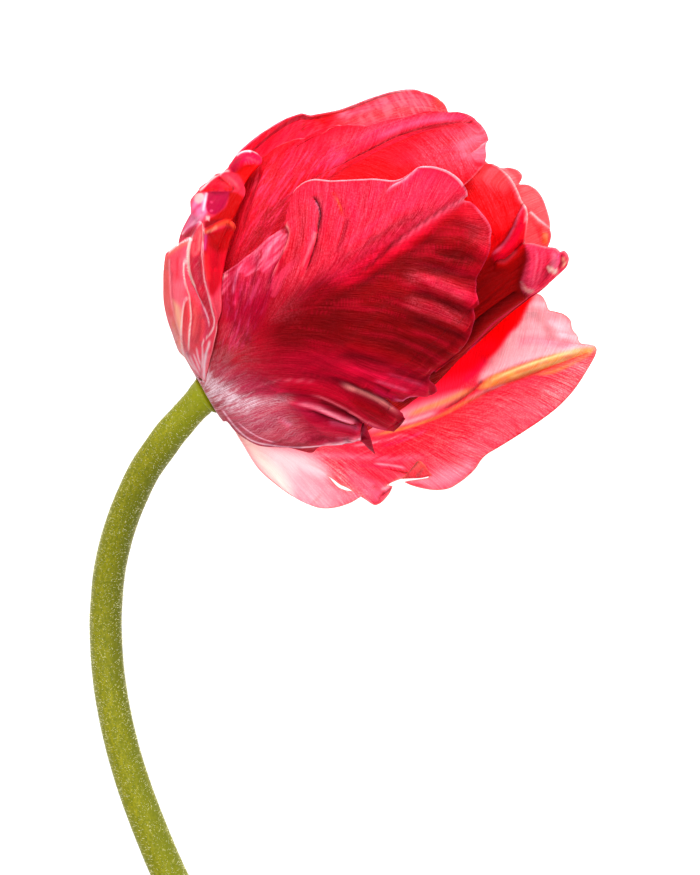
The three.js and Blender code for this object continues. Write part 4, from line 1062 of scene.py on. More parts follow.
    # rims: a painted highlight along the edges, dark red along the lower right, orange near the top, and pale cream at
    # the base
    rim = np.exp(-((e / 0.3) ** 2)) * smooth(0.5, 0.9, u)
    lower = smooth(360, 400, y) * smooth(470, 500, x)
    s.put(rim, rgb(250, 150, 128), 0.8)
    s.put(rim * lower, rgb(186, 40, 48), 0.9)
    s.put(rim * (1 - smooth(330, 352, y)), rgb(250, 128, 108), 0.7)
    s.put(np.exp(-((u / 0.22) ** 2)), rgb(252, 220, 196), 0.7)
    white = s.shape_mask([(224, 410), (300, 440), (350, 470), (370, 505), (320, 515), (240, 470)], 16)
    right = s.shape_mask([(470, 402), (590, 356), (580, 390), (480, 470), (420, 492), (400, 470)], 16)
    pale = s.shape_mask([(534, 294), (590, 344), (500, 366), (520, 322)], 8)
    red = s.shape_mask([(536, 292), (510, 332), (488, 359), (440, 396), (380, 410), (500, 290)], 6)
    vis = 0.75 + 0.25 * right - 0.25 * white - 0.1 * pale - 0.35 * stripe - 0.3 * red
    # Pink streaks that are partly painted sheen: strongest on the white base and the pale upper half, least on the red
    # side.
    pink_and_sheen = 0.1 + 0.1 * right + 0.45 * white + 0.4 * pale - 0.35 * red + 0.3 * s.shape_mask([(596, 352), (585, 378), (556, 406), (540, 400), (565, 372)], 8)
    s.mask = np.stack([np.zeros_like(u), np.clip(vis, 0, 1), np.clip(pink_and_sheen, 0, 1)], -1)
    s.glow = np.clip(s.c * 1.08, 0, 0.97)


def petal_open():
    ring = lambda a: tuple(body(np.array([0.0, a, 0.0])))
    mat = petal_material("petal_open_silk", 0.5, 0.45, 0.55, 130, pink_and_sheen=rgb(255, 226, 230), dark=(0.86, 0.3, 0.4))
    make_petal(dict(
        name="petal_open", node="outer_petal_open", slot="petal_pink", mat=mat, n=(164, 380), open=True, close=1.15, inner_seen=True,
        base=lambda v: ring(80 + 86 * v), hump=lambda u, v: -9 * np.sin(np.pi * v) * np.sin(np.pi * u ** 0.8), relight=0.4, crease=0.5, power=3.0,
        left=[(229, 422, 23.5), (241, 441, 20.5), (259, 469, 17)],
        rim=[(283, 490, 15), (294, 497, 14), (304, 502.5, 13.5), (316, 507, 13), (326, 508.5, 13), (338, 507, 13),
             (350, 503, 13), (357.5, 498.8, 12.8), (362.3, 495, 12.5, 1), (368, 500.5, 12.2), (375, 505, 12), (381, 502.5, 11.8),
             (388, 495, 11.3), (391.5, 489, 11), (393, 483.5, 11, 1), (399, 481, 11), (405, 482, 11), (413, 485.5, 11.5),
             (424.5, 488.5, 11.8), (437, 490, 12), (449, 488.3, 12), (457, 484, 12), (466, 477.5, 11.8), (475, 469, 11.5), (481, 460, 11.3), (487, 454, 11.2),
             (498, 447.5, 11), (519, 434.5, 11), (541, 420, 11), (560, 405, 11.5), (575, 388.5, 12), (586.5, 371, 13),
             (594.5, 357, 14), (597, 349.5, 14, 1), (594, 345.6, 14), (582, 344, 13.3), (578.6, 340.5, 13.2), (577.6, 335.6, 13), (574.6, 332.6, 13),
             (571.9, 328, 13), (570.5, 320.5, 13), (564, 314.5, 12.8), (556, 312, 12.6), (549, 310, 12.3),
             (545.6, 302, 12), (541.5, 295.8, 11.8), (535.5, 293.6, 11.5), (524, 291, 10.5)],
        right=[(238, 386, 14), (290, 358, 5), (360, 324, 1.6), (430, 298, 3.5), (485, 289, 7)],
        rows=((0.9, 0.3, 0.5),),
        cuts=[[(386, 485.5), (393, 481.8), (401, 478.6), (415, 477.8), (429.5, 476.2), (429.5, 477.6), (415, 480.2), (405, 481.9), (398, 486)],
              [(327.5, 475.5), (333, 478.8), (340, 484.2), (347, 487.3), (353, 491), (347, 490.6), (339, 487.6), (333, 482)]],
        relief=open_relief, paint=open_paint))
    # the tip of the lower lobe, folded back over the petal
    def flap_relief(s):
        s.ridge([(408, 474), (414, 468), (419, 462)], 3, 0.5)
        s.ridge([(416, 476), (421, 468), (423, 463)], 2.5, -0.4)
        s.h += 0.7 * np.sin(np.pi * s.v) * s.u

    def flap_paint(s):
        s.start(rgb(238, 74, 84))
        s.put(smooth(0.3, 1.0, s.u), rgb(255, 136, 100), 0.8)
        s.put(1 - smooth(0.0, 0.25, s.u), rgb(214, 40, 70), 0.7)
        # Painted highlight along the edge.
        s.put(np.exp(-((s.edge / 0.2) ** 2)), rgb(255, 150, 110), 0.6)
        s.mask = np.stack([0 * s.u, 0.6 + 0 * s.u, 0.25 + 0 * s.u], -1)
        s.glow = s.c.copy()

    b = hermite([0, 0.33, 0.66, 1], np.array([(402.5, 478.3, 12.2), (412, 477.6, 12.0), (422, 477.0, 12.0), (431.5, 474.8, 12.4)]))
    make_petal(dict(
        name="petal_open_fold", slot="petal_pink", mat=mat, n=(24, 32), open=True, belly=False, inner_seen=True, relight=0.8,
        base=lambda v: tuple(b(v)), left=[(408, 472, 13.6), (413, 466.5, 14.4)],
        rim=[(416.5, 462.2, 15), (419, 460.8, 15.1), (421.5, 462.2, 15), (424.5, 464.8, 14.8)], right=[(431, 474, 12.9), (428, 470, 13.8)],
        relief=flap_relief, paint=flap_paint, thick=0.3))


def top_relief(s):
    u, v = s.u, s.v
    s.ridge([(476, 121.5), (458, 121.5), (433, 124.5), (412, 129.5), (392, 136), (375, 144.5), (358, 153), (342, 161.5), (325, 170), (302, 184), (278, 204), (258, 228)], 2.6, -0.9, (0.03, 0.4))
    s.ridge([(470, 125), (433, 128.5), (402, 139), (375, 151), (352, 163), (332, 175), (308, 190)], 2.2, -0.6, (0.1, 0.4))
    s.ridge([(466, 117.5), (440, 118.5), (415, 122.5), (392, 128.5), (368, 137), (345, 148), (322, 160)], 5, 0.8, (0.05, 0.4))
    s.ridge([(460, 130), (430, 134), (400, 145), (370, 160), (340, 176)], 4.5, 0.5, (0.1, 0.4))
    s.step([(489, 139), (481, 147), (473, 154), (464, 160)], 8, -0.5, 0.9, (0.02, 0.3))
    s.ridge([(482, 128), (470, 134), (450, 140), (425, 148)], 5, -0.35, (0.05, 0.4))
    s.ridge([(486, 136), (470, 142), (445, 150), (415, 160)], 4, 0.35, (0.05, 0.4))
    s.ridge([(484, 158), (465, 158), (440, 162)], 4, 0.4, (0.05, 0.4))
    s.ridge([(262, 170), (254, 190), (247, 212), (241, 235)], 3, -0.5, (0.1, 0.3))
    s.ridge([(268, 165), (262, 185), (254, 210), (246, 236)], 3, 0.5, (0.1, 0.3))
    n = value_noise(v * 34, u * 3.0, 51) - 0.5
    s.h += 0.35 * n * smooth(0.35, 1.0, u)
    n = value_noise(v * 90, u * 5.0, 52) - 0.5
    s.h += 0.3 * n * smooth(0.3, 0.95, u)


def top_paint(s):
    u, v, x, y, e = s.u, s.v, s.x, s.y, s.edge
    n1, n2 = patches_noise(x, y, 22, 61), patches_noise(x, y, 7, 63)
    fan(s, [(170, 440), (208, 388), (225, 300), (240, 258), (258, 228), (278, 204), (302, 184), (325, 170), (342, 161.5), (358, 153), (375, 144.5), (392, 136), (412, 129.5), (433, 124.5), (458, 121.5), (476, 121.5)], 7, near=22, reach=(230, 470))
    s.start(rgb(222, 6, 40))
    s.area([(300, 140), (335, 127), (400, 117), (460, 113), (478, 121), (440, 124), (400, 134), (350, 158), (310, 172), (280, 170)], 8, rgb(234, 26, 66), 0.8)
    s.area([(380, 125), (430, 116), (476, 116), (476, 121), (430, 121), (392, 132), (360, 145), (350, 140)], 5, rgb(242, 66, 96), 0.75)
    s.area([(478, 124), (488, 138), (484, 165), (440, 176), (400, 178), (390, 165), (420, 145), (450, 130)], 10, rgb(250, 58, 76), 0.85)
    s.area([(478, 126), (489, 138), (484, 160), (462, 160), (455, 145), (465, 132)], 7, rgb(252, 132, 136), 0.8)
    s.area([(320, 168), (380, 162), (420, 168), (400, 182), (320, 184), (290, 200)], 8, rgb(238, 10, 20), 0.8)
    # Painted shade along the midrib groove and in a band beneath it, a painted highlight on the ridge above, and
    # another along the fold at the right-hand tip.
    s.stroke([(470, 127), (433, 131), (405, 141), (378, 154), (352, 167), (330, 178), (305, 192)], 3.4, rgb(176, 0, 26), 0.75)
    s.stroke([(476, 121.5), (458, 121.3), (433, 124), (412, 129), (392, 135.6), (375, 144), (358, 152.6), (342, 161), (325, 169.6), (304, 183)], 1.3, rgb(140, 0, 30), 0.9, (0.03, 0.3))
    s.stroke([(466, 119), (440, 120.5), (415, 124.5), (395, 131), (372, 140)], 1.5, rgb(252, 120, 140), 0.6)
    s.stroke([(450, 127), (420, 132), (395, 142), (370, 154), (345, 168)], 1.6, rgb(238, 70, 104), 0.6)
    s.stroke([(489, 140), (481, 147), (473, 154)], 1.2, rgb(255, 214, 210), 0.9, (0.02, 0.2))
    # shaded beside the front petal
    s.area([(292, 190), (288, 222), (262, 242), (232, 268), (214, 284), (225, 262), (250, 228), (270, 205)], 9, rgb(168, 0, 26), 0.8)
    s.area([(236, 180), (262, 158), (262, 175), (252, 205), (240, 236), (228, 270), (212, 285), (200, 260), (212, 220)], 6, rgb(206, 2, 20), 0.85)
    s.area([(210, 232), (236, 226), (232, 262), (212, 284), (203, 262)], 6, rgb(226, 30, 44), 0.8)
    s.stroke([(261, 160), (257, 175), (253, 190), (249.5, 206), (244, 224)], 1.2, rgb(250, 92, 96), 0.8)
    s.stroke([(254, 176), (250, 188), (247, 200)], 1.6, rgb(120, 0, 16), 0.7)
    sp = s.shape_mask([(258, 178), (300, 150), (340, 150), (330, 172), (300, 184), (286, 205), (262, 238), (240, 262), (246, 225)], 14)
    s.put(sp * n2, rgb(236, 40, 90), 0.5)
    s.area([(238, 196), (250, 186), (262, 200), (252, 238), (234, 266), (220, 284), (211, 288), (218, 262), (234, 230)], 5, rgb(226, 6, 52), 0.75)
    st = streaks(x, y, 54, 17, 1.9, 71)
    sp2 = s.shape_mask([(238, 262), (246, 225), (254, 190), (268, 164), (300, 150), (345, 150), (335, 172), (306, 190), (288, 212), (282, 228), (262, 244)], 9)
    s.put(sp2 * smooth(0.5, 0.68, st), rgb(255, 100, 126), 0.6)
    s.put(sp2 * smooth(0.44, 0.3, st), rgb(176, 0, 40), 0.5)
    # Painted highlight along the free edge.
    s.put(np.exp(-((e / 0.22) ** 2)) * smooth(0.6, 0.95, u), rgb(255, 150, 150), 0.7)
    tip = s.shape_mask([(470, 124), (489, 138), (484, 165), (430, 172), (420, 150), (450, 132)], 12)
    ridge = s.shape_mask([(330, 140), (400, 118), (476, 116), (430, 122), (380, 140), (340, 158)], 9)
    bloom = 0 * sp
    # Pink streaks that are partly painted sheen: strongest on the tip lobe and the ridge, a little on the speckled
    # part.
    pink_and_sheen = 0.12 + 0.55 * tip + 0.4 * ridge + 0.2 * sp
    s.mask = np.stack([np.clip(bloom, 0, 1), 0.9 + 0 * u, np.clip(pink_and_sheen, 0, 1)], -1)
    s.glow = s.c * 0.5 + rgb(240, 14, 30) * 0.5


def petal_top():
    make_petal(dict(
        name="petal_top", node="inner_petal_top", slot="petal_red", mat=petal_material("petal_top_silk", 0.42, 0.4, 0.8, 150), n=(150, 280),
        base=arc(-100, 6, -2.6), front_only=True,
        left=[U(203, 330, -2.6), U(212, 272, -2.6), U(226, 216, -2.6), U(244, 178, -2.4)],
        rim=[U(260, 158, -2), U(270, 152, -2), U(280, 145, -2), U(292, 140, -2), U(305, 137.5, -2), U(318, 135, -2), U(326, 132, -2), U(332, 128.6, -2),
             U(342, 125.2, -2), U(358, 124.5, -2.1), U(368, 125.6, -2.1), U(383, 121, -2.1), U(400, 117, -2.1), U(412, 116, -2.2),
             U(425, 114.5, -2.2), U(437, 114, -2.3), U(447, 113.6, -2.3), U(465, 113.8, -2.4), U(473, 117, -2.5), C(477.5, 121.8, -2.6), U(482, 126, -2.6),
             U(486.5, 133, -2.6), C(488.8, 140.5, -2.6), U(486.3, 147, -2.7), U(486.3, 155, -2.8), C(484.5, 165, -3), U(466, 184, -2.8),
             B(312, -18, -2.6), B(270, -10, -2.6)],
        right=[B(30, 2, -2.6), B(120, -4, -2.6), B(200, -8, -2.6)],
        relief=top_relief, paint=top_paint))


def back_relief(s):
    u, v = s.u, s.v
    s.ridge([(437, 98), (439, 104), (438, 110)], 2.2, -0.6)
    s.step([(329, 113), (329, 120), (331, 127)], 5, 0.5, 0.8, (0.02, 0.3))
    s.step([(309, 114), (308, 122), (305, 130)], 5, 0.4, 0.8, (0.02, 0.3))
    s.ridge([(504, 168), (514, 175), (520, 185)], 3, 0.5)
    s.step([(530, 211.6), (540, 221), (549, 228)], 6, -0.3, 1.2, (0.05, 0.05))
    s.ridge([(540, 221), (543, 232), (546, 244)], 2.5, -0.5)
    n = value_noise(v * 44, u * 3.0, 71) - 0.5
    s.h += 0.7 * n * smooth(0.4, 1.0, u)
    n = value_noise(v * 110, u * 5.0, 72) - 0.5
    s.h += 0.3 * n * smooth(0.3, 0.95, u)
    s.h *= 1 - 0.85 * s.shape_mask([(225, 190), (232, 150), (262, 120), (292, 104), (344, 100), (344, 130), (300, 142), (268, 160), (245, 200)], 5)
    s.ridge([(300, 114), (310, 111.5), (320, 109.5), (332, 107.5), (344, 104.5), (356, 101), (372, 97), (392, 92)], 6, -1.2, (0.1, 0.65))


def back_paint(s):
    u, v, x, y, e = s.u, s.v, s.x, s.y, s.edge
    n1, n2 = patches_noise(x, y, 16, 81), patches_noise(x, y, 6, 83)
    s.start(rgb(255, 104, 112))
    s.area([(236, 158), (250, 138), (290, 116), (312, 116), (332, 116), (330, 130), (290, 146), (262, 160), (245, 190), (225, 240), (200, 240), (215, 180)], 5, rgb(253, 98, 142), 0.95)
    s.area([(242, 150), (262, 131), (292, 116), (290, 122), (262, 140), (248, 156)], 4, rgb(255, 104, 126), 0.6)
    s.area([(308, 112), (332, 112), (334, 126), (312, 130)], 3, rgb(252, 60, 80), 0.7)
    band = s.shape_mask([(244, 152), (262, 132), (292, 115), (334, 113), (334, 128), (300, 138), (268, 156), (250, 168)], 3)
    st = streaks(x, y, 62, 12, 1.7, 81)
    s.put(band * smooth(0.52, 0.68, st), rgb(255, 150, 168), 0.6)
    s.put(band * smooth(0.46, 0.32, st), rgb(240, 40, 90), 0.5)
    s.stroke([(305.6, 117), (303.6, 124), (302.4, 130)], 1.4, rgb(150, 0, 10), 0.9, (0.02, 0.1))
    s.stroke([(316, 116), (322, 121), (329, 122.5)], 1.6, rgb(200, 10, 30), 0.7, (0.02, 0.1))
    s.area([(334, 110), (372, 97), (410, 90), (438, 97), (448, 112), (400, 118), (350, 126)], 5, rgb(255, 176, 190), 0.9)
    s.area([(340, 124), (380, 118), (430, 112), (446, 112), (400, 106), (356, 116)], 4, rgb(252, 96, 104), 0.6)
    s.area([(432, 95), (449, 104), (449, 114), (432, 112)], 4, rgb(250, 84, 76), 0.8)
    s.stroke([(436.5, 97.5), (438, 101)], 1.5, rgb(214, 196, 90), 0.9, (0, 0))
    strip = s.shape_mask([(336, 110), (372, 96), (410, 88), (438, 95), (446, 108), (440, 114), (400, 116), (350, 122)], 3)
    st = streaks(x, y, -60, 12, 1.9, 83)
    s.put(strip * smooth(0.52, 0.68, st), rgb(255, 226, 230), 0.6)
    s.put(strip * smooth(0.46, 0.32, st), rgb(252, 96, 116), 0.55)
    s.area([(500, 166), (520, 168), (524, 180), (518, 188), (505, 180)], 4, rgb(255, 178, 172), 0.9)
    s.area([(518, 184), (534, 186), (548, 212), (551, 230), (534, 214), (522, 205)], 4, rgb(255, 168, 160), 0.9)
    s.area([(520, 206), (532, 213), (541, 222), (543, 244), (520, 250), (516, 230)], 4, rgb(255, 138, 132), 0.9)
    s.stroke([(530, 211.4), (540, 221), (549.5, 228.4)], 1.1, rgb(255, 246, 240), 0.9, (0.02, 0.02))
    s.stroke([(532, 220), (538, 230), (541, 243)], 1.3, rgb(240, 70, 90), 0.6)
    s.area([(541, 223), (551, 230), (550, 246), (542, 244)], 2.5, rgb(240, 120, 110), 0.9)
    s.area([(543, 233), (549, 234), (548, 244), (543, 243)], 2.2, rgb(226, 170, 90), 0.8)
    s.stroke([(550, 232), (549, 245)], 1.2, rgb(210, 30, 60), 0.7, (0, 0))
    # Painted highlight along the free edge.
    s.put(np.exp(-((e / 0.24) ** 2)) * smooth(0.6, 0.95, u), rgb(255, 188, 178), 0.7)
    a = s.shape_mask([(334, 108), (400, 88), (448, 104), (446, 114), (350, 126)], 7)
    # Pink streaks that are partly painted sheen: strongest on the pale strip along the top.
    s.mask = np.stack([0.0 * a, 0.8 * (1 - s.shape_mask([(230, 170), (240, 146), (262, 126), (292, 108), (340, 104), (340, 128), (300, 138), (268, 156), (250, 172)], 4)), np.clip(0.3 + 0.7 * a, 0, 1)], -1)
    s.glow = np.clip(s.c * 0.7 + rgb(255, 80, 96) * 0.3, 0, 0.97)


def petal_back():
    make_petal(dict(
        name="petal_back", node="inner_petal_back", slot="petal_pink", mat=petal_material("petal_back_silk", 0.6, 0.45, 0.45, 300, pink_and_sheen=rgb(255, 190, 196), dark=(0.85, 0.3, 0.4)), n=(130, 300), flip=True, relight=0.2, crease=0.3, columns=((0.8, 0.1, 1.4), (0.2, 0.06, 0.6)), rows=((1.0, 0.1, 4.5),),
        base=arc(-114, -232, -2.6), inner_seen=True, seen_side=-1,
        left=[B(30, -104, -2.6), B(80, -96, -2.6), B(125, -91, -2.6)],
        rim=[D(241, 152.5, -2.6), D(250, 140, -2.6), D(258, 134.5, -2.6), D(267, 130, -2.6), D(278, 124, -2.6), D(288, 118, -2.6), D(294, 116, -2.6), D(299, 114.2, -2.6),
             D(304, 115.6, -2.6), D(309, 115.2, -2.6), D(314, 113.4, -2.6), D(321, 113.6, -2.6), D(326, 114, -2.6), DC(329.3, 116.5, -2.6), D(333, 112, -2.6), D(341, 108.4, -2.6),
             D(352, 103.6, -2.6), D(372, 98, -2.6), D(392, 92, -2.6), D(408, 90, -2.6), D(425, 92, -2.6), D(438, 98.2, -2.6), D(445, 105, -2.6),
             D(448.5, 113, -2.6), D(458, 126, -2.8), D(474, 148, -3), D(490, 165, -3), DC(503, 169, -3), D(511, 168.3, -3), D(518.5, 170.6, -3), D(522, 176, -3),
             DC(519, 184.5, -3), D(530, 185.6, -3), D(540, 194, -3), D(546, 207, -3), D(549.5, 220, -3), DC(549.8, 229, -3), D(551.2, 236, -3),
             D(548, 246, -3), B(352, -212, -3), B(300, -211, -3)],
        right=[B(30, -226, -2.6), B(100, -208, -2.6), B(200, -204, -2.6)],
        relief=back_relief, paint=back_paint))


def right_relief(s):
    u, v = s.u, s.v
    # the midrib, rolled towards the viewer
    roll = [(525, 203), (521, 210), (517, 220), (510, 235), (502, 246.5), (490, 255)]
    s.step(roll, 9, -0.6, 1.0, (0.02, 0.2))
    s.ridge([(526, 214), (521, 228), (514, 241), (503, 251), (492, 257)], 4.5, 1.0, (0.05, 0.15))
    s.step([(524, 243), (518, 250), (512, 256), (503, 262), (495, 261)], 6, -0.8, 0.8, (0.02, 0.05))
    s.ridge([(500, 170), (508, 182), (514, 196), (516, 208)], 4, 0.4)
    # the curled tip
    s.h += 1.2 * s.shape_mask([(528, 243), (547, 246), (564, 250), (567, 257), (555, 272), (535, 289), (525, 288), (524, 270), (528, 256)], 7)
    s.step([(525.5, 246), (527, 258), (524, 272), (523, 284), (528, 291)], 7, -0.3, 2.0, (0.02, 0.02))
    s.ridge([(548, 247), (549, 256), (546, 266), (541, 276)], 2.6, -0.3)
    s.ridge([(560, 251), (561, 259), (557, 267)], 2.0, -0.5)
    s.ridge([(554, 249), (555, 258), (551, 268)], 2.2, 0.6)
    # the rolled free edge that runs down to the left
    s.ridge([(526, 293), (506, 307), (485, 323), (468, 341), (448, 363), (428, 384), (405, 400)], 3.4, 0.8, (0.03, 0.1))
    s.ridge([(518, 291), (498, 305), (478, 320), (460, 340), (440, 362), (420, 380)], 2.4, -0.7, (0.03, 0.1))
    n = value_noise(v * 30, u * 3.0, 91) - 0.5
    s.h += 0.6 * n * smooth(0.4, 1.0, u)
    n = value_noise(v * 80, u * 5.0, 92) - 0.5
    s.h += 0.25 * n * smooth(0.3, 0.95, u)


def right_paint(s):
    u, v, x, y, e = s.u, s.v, s.x, s.y, s.edge
    n2 = patches_noise(x, y, 6, 103)
    fan(s, [(300, 400), (400, 330), (450, 285), (490, 256), (502, 247), (510, 235), (517, 220), (526, 203)], 8, 60)
    s.start(rgb(212, 4, 14))
    s.area([(456, 160), (500, 160), (522, 190), (530, 215), (512, 240), (490, 258), (470, 250), (460, 200)], 6, rgb(234, 16, 22), 1.0)
    s.area([(465, 164), (500, 166), (514, 182), (505, 192), (480, 182), (466, 178)], 7, rgb(250, 110, 100), 0.8)
    s.stroke([(506, 176), (514, 192), (517, 206), (512, 222)], 4, rgb(240, 36, 40), 0.5)
    s.stroke([(494, 190), (499, 208), (496, 228)], 6, rgb(214, 4, 18), 0.5)
    # dark inside: painted shade on the half folded back under the midrib
    s.area([(480, 268), (492, 256), (503, 262), (514, 256), (524, 244), (528, 262), (524, 284), (530, 294), (500, 316), (470, 345), (440, 384), (400, 404), (390, 380), (440, 330)], 3.5, rgb(160, 0, 2), 1.0)
    s.area([(500, 262), (520, 254), (522, 284), (500, 302), (482, 300), (484, 276)], 6, rgb(150, 0, 0), 0.7)
    # the rolled midrib
    s.area([(526, 203), (528, 215), (527, 228), (524, 243), (517, 250), (512, 256), (503, 262), (495, 261), (491, 256), (502, 247), (510, 236), (517, 220), (521, 209)], 2, rgb(248, 14, 54), 1.0)
    s.stroke([(525, 205), (521, 211), (517, 221), (510, 235.5), (502, 246.5), (491, 255)], 1.2, rgb(255, 130, 150), 0.95, (0.02, 0.1))
    s.stroke([(523, 216), (518, 230), (510, 242), (500, 250)], 2.2, rgb(226, 4, 70), 0.75)
    s.stroke([(524, 226), (519, 239), (510, 250), (500, 257)], 3.0, rgb(240, 8, 26), 0.8)
    s.stroke([(518, 249), (511, 256), (503, 261.5), (496, 260.5)], 1.1, rgb(255, 120, 116), 0.8)
    # Painted highlight: the white rim along the right-hand edge.
    s.stroke([(502, 167), (511.6, 180), (518, 193), (521.6, 201.6), (526, 207), (527, 215), (526, 223)], 1.5, rgb(255, 232, 226), 1.0, (0.03, 0.05))
    # curled tip
    k = s.shape_mask([(525, 244), (531, 242), (547, 245), (560, 247), (569, 253), (569, 264), (556, 277), (536, 293), (524, 293), (521, 284), (524, 270), (527, 258)], 1.8)
    s.put(k, rgb(240, 84, 110), 1.0)
    s.stroke([(534, 246), (535, 258), (532, 272), (529, 284)], 2.2, rgb(255, 140, 150), 0.7)
    s.stroke([(541, 247), (541, 260), (537, 274), (533, 284)], 1.8, rgb(255, 130, 146), 0.7)
    for x0 in (526, 530.5, 535, 539.5, 543.5):
        s.stroke([(x0 + 1.5, 246), (x0 + 2.5, 258), (x0 + 0.5, 271), (x0 - 1.5 - 0.25 * (x0 - 526), 285)], 1.25, rgb(190, 4, 66), 0.7, (0.04, 0.08))
    s.stroke([(538, 246), (538, 260), (534, 274)], 1.0, rgb(214, 36, 80), 0.8)
    s.stroke([(545, 248), (546, 260), (541, 272)], 1.5, rgb(190, 4, 66), 0.9)
    s.stroke([(552, 249), (553, 258), (550, 266)], 2.4, rgb(255, 160, 178), 0.9)
    s.stroke([(559, 251), (560, 259), (556, 267)], 1.6, rgb(150, 6, 60), 0.9)
    s.stroke([(548, 266), (544, 276), (536, 286)], 3.6, rgb(206, 6, 76), 0.85)
    s.area([(545, 264.5), (551, 264), (556, 268), (555, 273.5), (552, 271), (547, 268.5)], 1.1, rgb(250, 226, 206), 1.0)
    s.stroke([(562.6, 256.5), (564.5, 260), (562.6, 264.5)], 1.4, rgb(246, 214, 170), 1.0, (0, 0))
    s.area([(521, 281), (525, 285), (532, 287), (533, 290.5), (527, 292), (522.5, 288)], 1.3, rgb(248, 176, 160), 1.0)
    s.stroke([(567, 254), (568, 261), (562, 271), (548, 282), (536, 291)], 1.2, rgb(232, 96, 110), 0.8, (0.02, 0.02))
    # free edge
    s.stroke([(534, 292), (515, 305), (491, 323.5), (476, 341), (452, 368), (436, 384), (414, 400)], 1.2, rgb(236, 46, 100), 0.9, (0.02, 0.1))
    s.stroke([(524, 293), (504, 307), (484, 323), (466, 342), (446, 364), (426, 384)], 2.6, rgb(172, 2, 14), 0.85, (0.05, 0.1))
    s.stroke([(518, 290), (498, 304), (478, 320), (460, 339), (440, 361)], 1.4, rgb(96, 0, 0), 0.8, (0.05, 0.1))
    # Painted highlight along the free edge, above the curled tip.
    s.put(np.exp(-((e / 0.2) ** 2)) * smooth(0.6, 0.95, u) * (1 - smooth(260, 275, y)), rgb(255, 190, 180), 0.6)
    hi = s.shape_mask([(465, 162), (502, 165), (520, 200), (510, 225), (480, 220)], 10)
    # Pink streaks that are partly painted sheen: strongest on the curled tip and the upper part.
    s.mask = np.stack([0 * u, 0.85 + 0 * u, np.clip(0.02 + 0.16 * hi + 0.25 * k, 0, 1)], -1)
    s.glow = s.c * 0.6 + rgb(226, 4, 8) * 0.4
    # Painted shade in the light passing through that half as well.
    dark = s.shape_mask([(480, 268), (492, 256), (503, 262), (524, 244), (528, 262), (530, 294), (470, 345), (400, 404)], 5)
    s.glow = s.glow * (1 - 0.75 * dark[..., None])


def petal_right():
    make_petal(dict(
        name="petal_right", node="inner_petal_right", slot="petal_red", mat=petal_material("petal_right_silk", 0.4, 0.4, 0.75, 150), n=(140, 280),
        base=arc(-38, 110, -4.8), crease=0.7, front_only=True,
        left=[B(40, -36, -4.8), B(120, -32, -4.8), B(220, -28, -4.9), B(300, -28, -5)],
        rim=[U(463.5, 166.5, -5), U(475.5, 164.5, -5), U(492, 164.2, -5), U(498.5, 167, -5), U(506, 173, -5), U(513, 181.5, -5), U(518.5, 192.5, -5), U(522, 201, -5.1),
             U(526.3, 207.5, -5.2), U(527.6, 215, -5.5), U(527, 223, -5.9), C(524.5, 243, -6), U(531, 242.5, -5.6), U(546.6, 245.8, -5), U(555, 247, -4.6), C(559, 250.4, -4.3),
             U(564, 250, -4), U(568, 256, -4), U(567.5, 263, -4.2), U(561.5, 271.5, -4.8), U(548, 282, -5.4), U(535, 291.6, -6), U(512, 306, -6), U(491.6, 322, -6)],
        right=[B(25, 100, -4.8), B(80, 84, -5), U(376, 425, -5), U(408, 404, -5.4), U(438, 378, -5.8), U(465, 347, -6)],
        columns=((0.6, 0.12, 1.6),), rows=((0.85, 0.25, 0.6),), relight=0.9, relief=right_relief, paint=right_paint))


def left_relief(s):
    u, v = s.u, s.v
    # strips of the near margin, each curling over the next
    s.step([(192, 237), (188.5, 246), (186.5, 258), (187, 270), (191, 284), (198, 298), (205, 311)], 7, 0.7, 0.8, (0.02, 0.15))
    s.step([(186, 258), (184, 270), (187, 287), (190.5, 303), (191, 320), (189.6, 345)], 5, 0.4, 0.7, (0.1, 0.15))
    s.step([(189, 297), (184.5, 303), (182, 325), (182, 342), (187, 360)], 5, 0.5, 0.7, (0.05, 0.15))
    s.step([(171, 268), (172.5, 295), (175.5, 320), (181, 340), (188, 358)], 6, 0.4, 0.8, (0.05, 0.1))
    s.ridge([(198, 232), (196, 250), (195.5, 270), (200, 288), (206, 306)], 3.2, 0.4)
    s.ridge([(201, 244), (200, 262), (202, 280)], 1.8, -0.3)
    s.ridge([(203, 315), (204, 330), (203, 342)], 3, 0.4)
    s.ridge([(196, 310), (197, 328), (196, 345)], 2.4, -0.3)
    s.step([(168, 255), (176, 248.5), (184, 243), (192, 238)], 6, 0.9, 0.7, (0.02, 0.05))
    s.step([(183, 232), (190, 226), (201, 221)], 5, 0.5, 0.7, (0.02, 0.05))
    s.ridge([(206, 198), (204.5, 206), (206, 216)], 2.4, 0.3)
    s.step([(199, 193), (208, 190), (219, 189.5), (234, 190)], 6, -0.5, 0.9, (0.1, 0.25))
    s.step([(220, 175), (228, 181.5), (236, 190)], 5, -0.45, 0.8, (0.02, 0.1))
    s.step([(231, 172), (240, 167), (246, 163), (256, 164)], 6, -0.5, 0.9, (0.1, 0.2))
    s.ridge([(205, 233), (213, 229), (221, 225), (229, 223.4), (234, 226)], 2.4, 0.8, (0.02, 0.02))
    s.ridge([(214, 240), (216, 256), (214, 272)], 4, -0.3)
    # the outline draws in above the lowest lobe
    s.ridge([(196, 202), (189.5, 215), (183, 228), (177, 237), (172, 241)], 8, -3.2, (0.2, 0.05))
    s.ridge([(175, 240.6), (168, 244.4), (160, 246.4)], 3.6, -2.8, (0.1, 0.02))
    s.ridge([(206, 352), (204.6, 364), (203.6, 378)], 2.2, 0.5)
    s.ridge([(200.5, 350), (201, 364), (201, 378)], 1.5, -0.3)
    n = value_noise(v * 60, u * 3.0, 111) - 0.5
    s.h += 0.3 * n * smooth(0.4, 1.0, u)
    n = value_noise(v * 130, u * 5.0, 112) - 0.5
    s.h += 0.1 * n * smooth(0.3, 0.95, u)


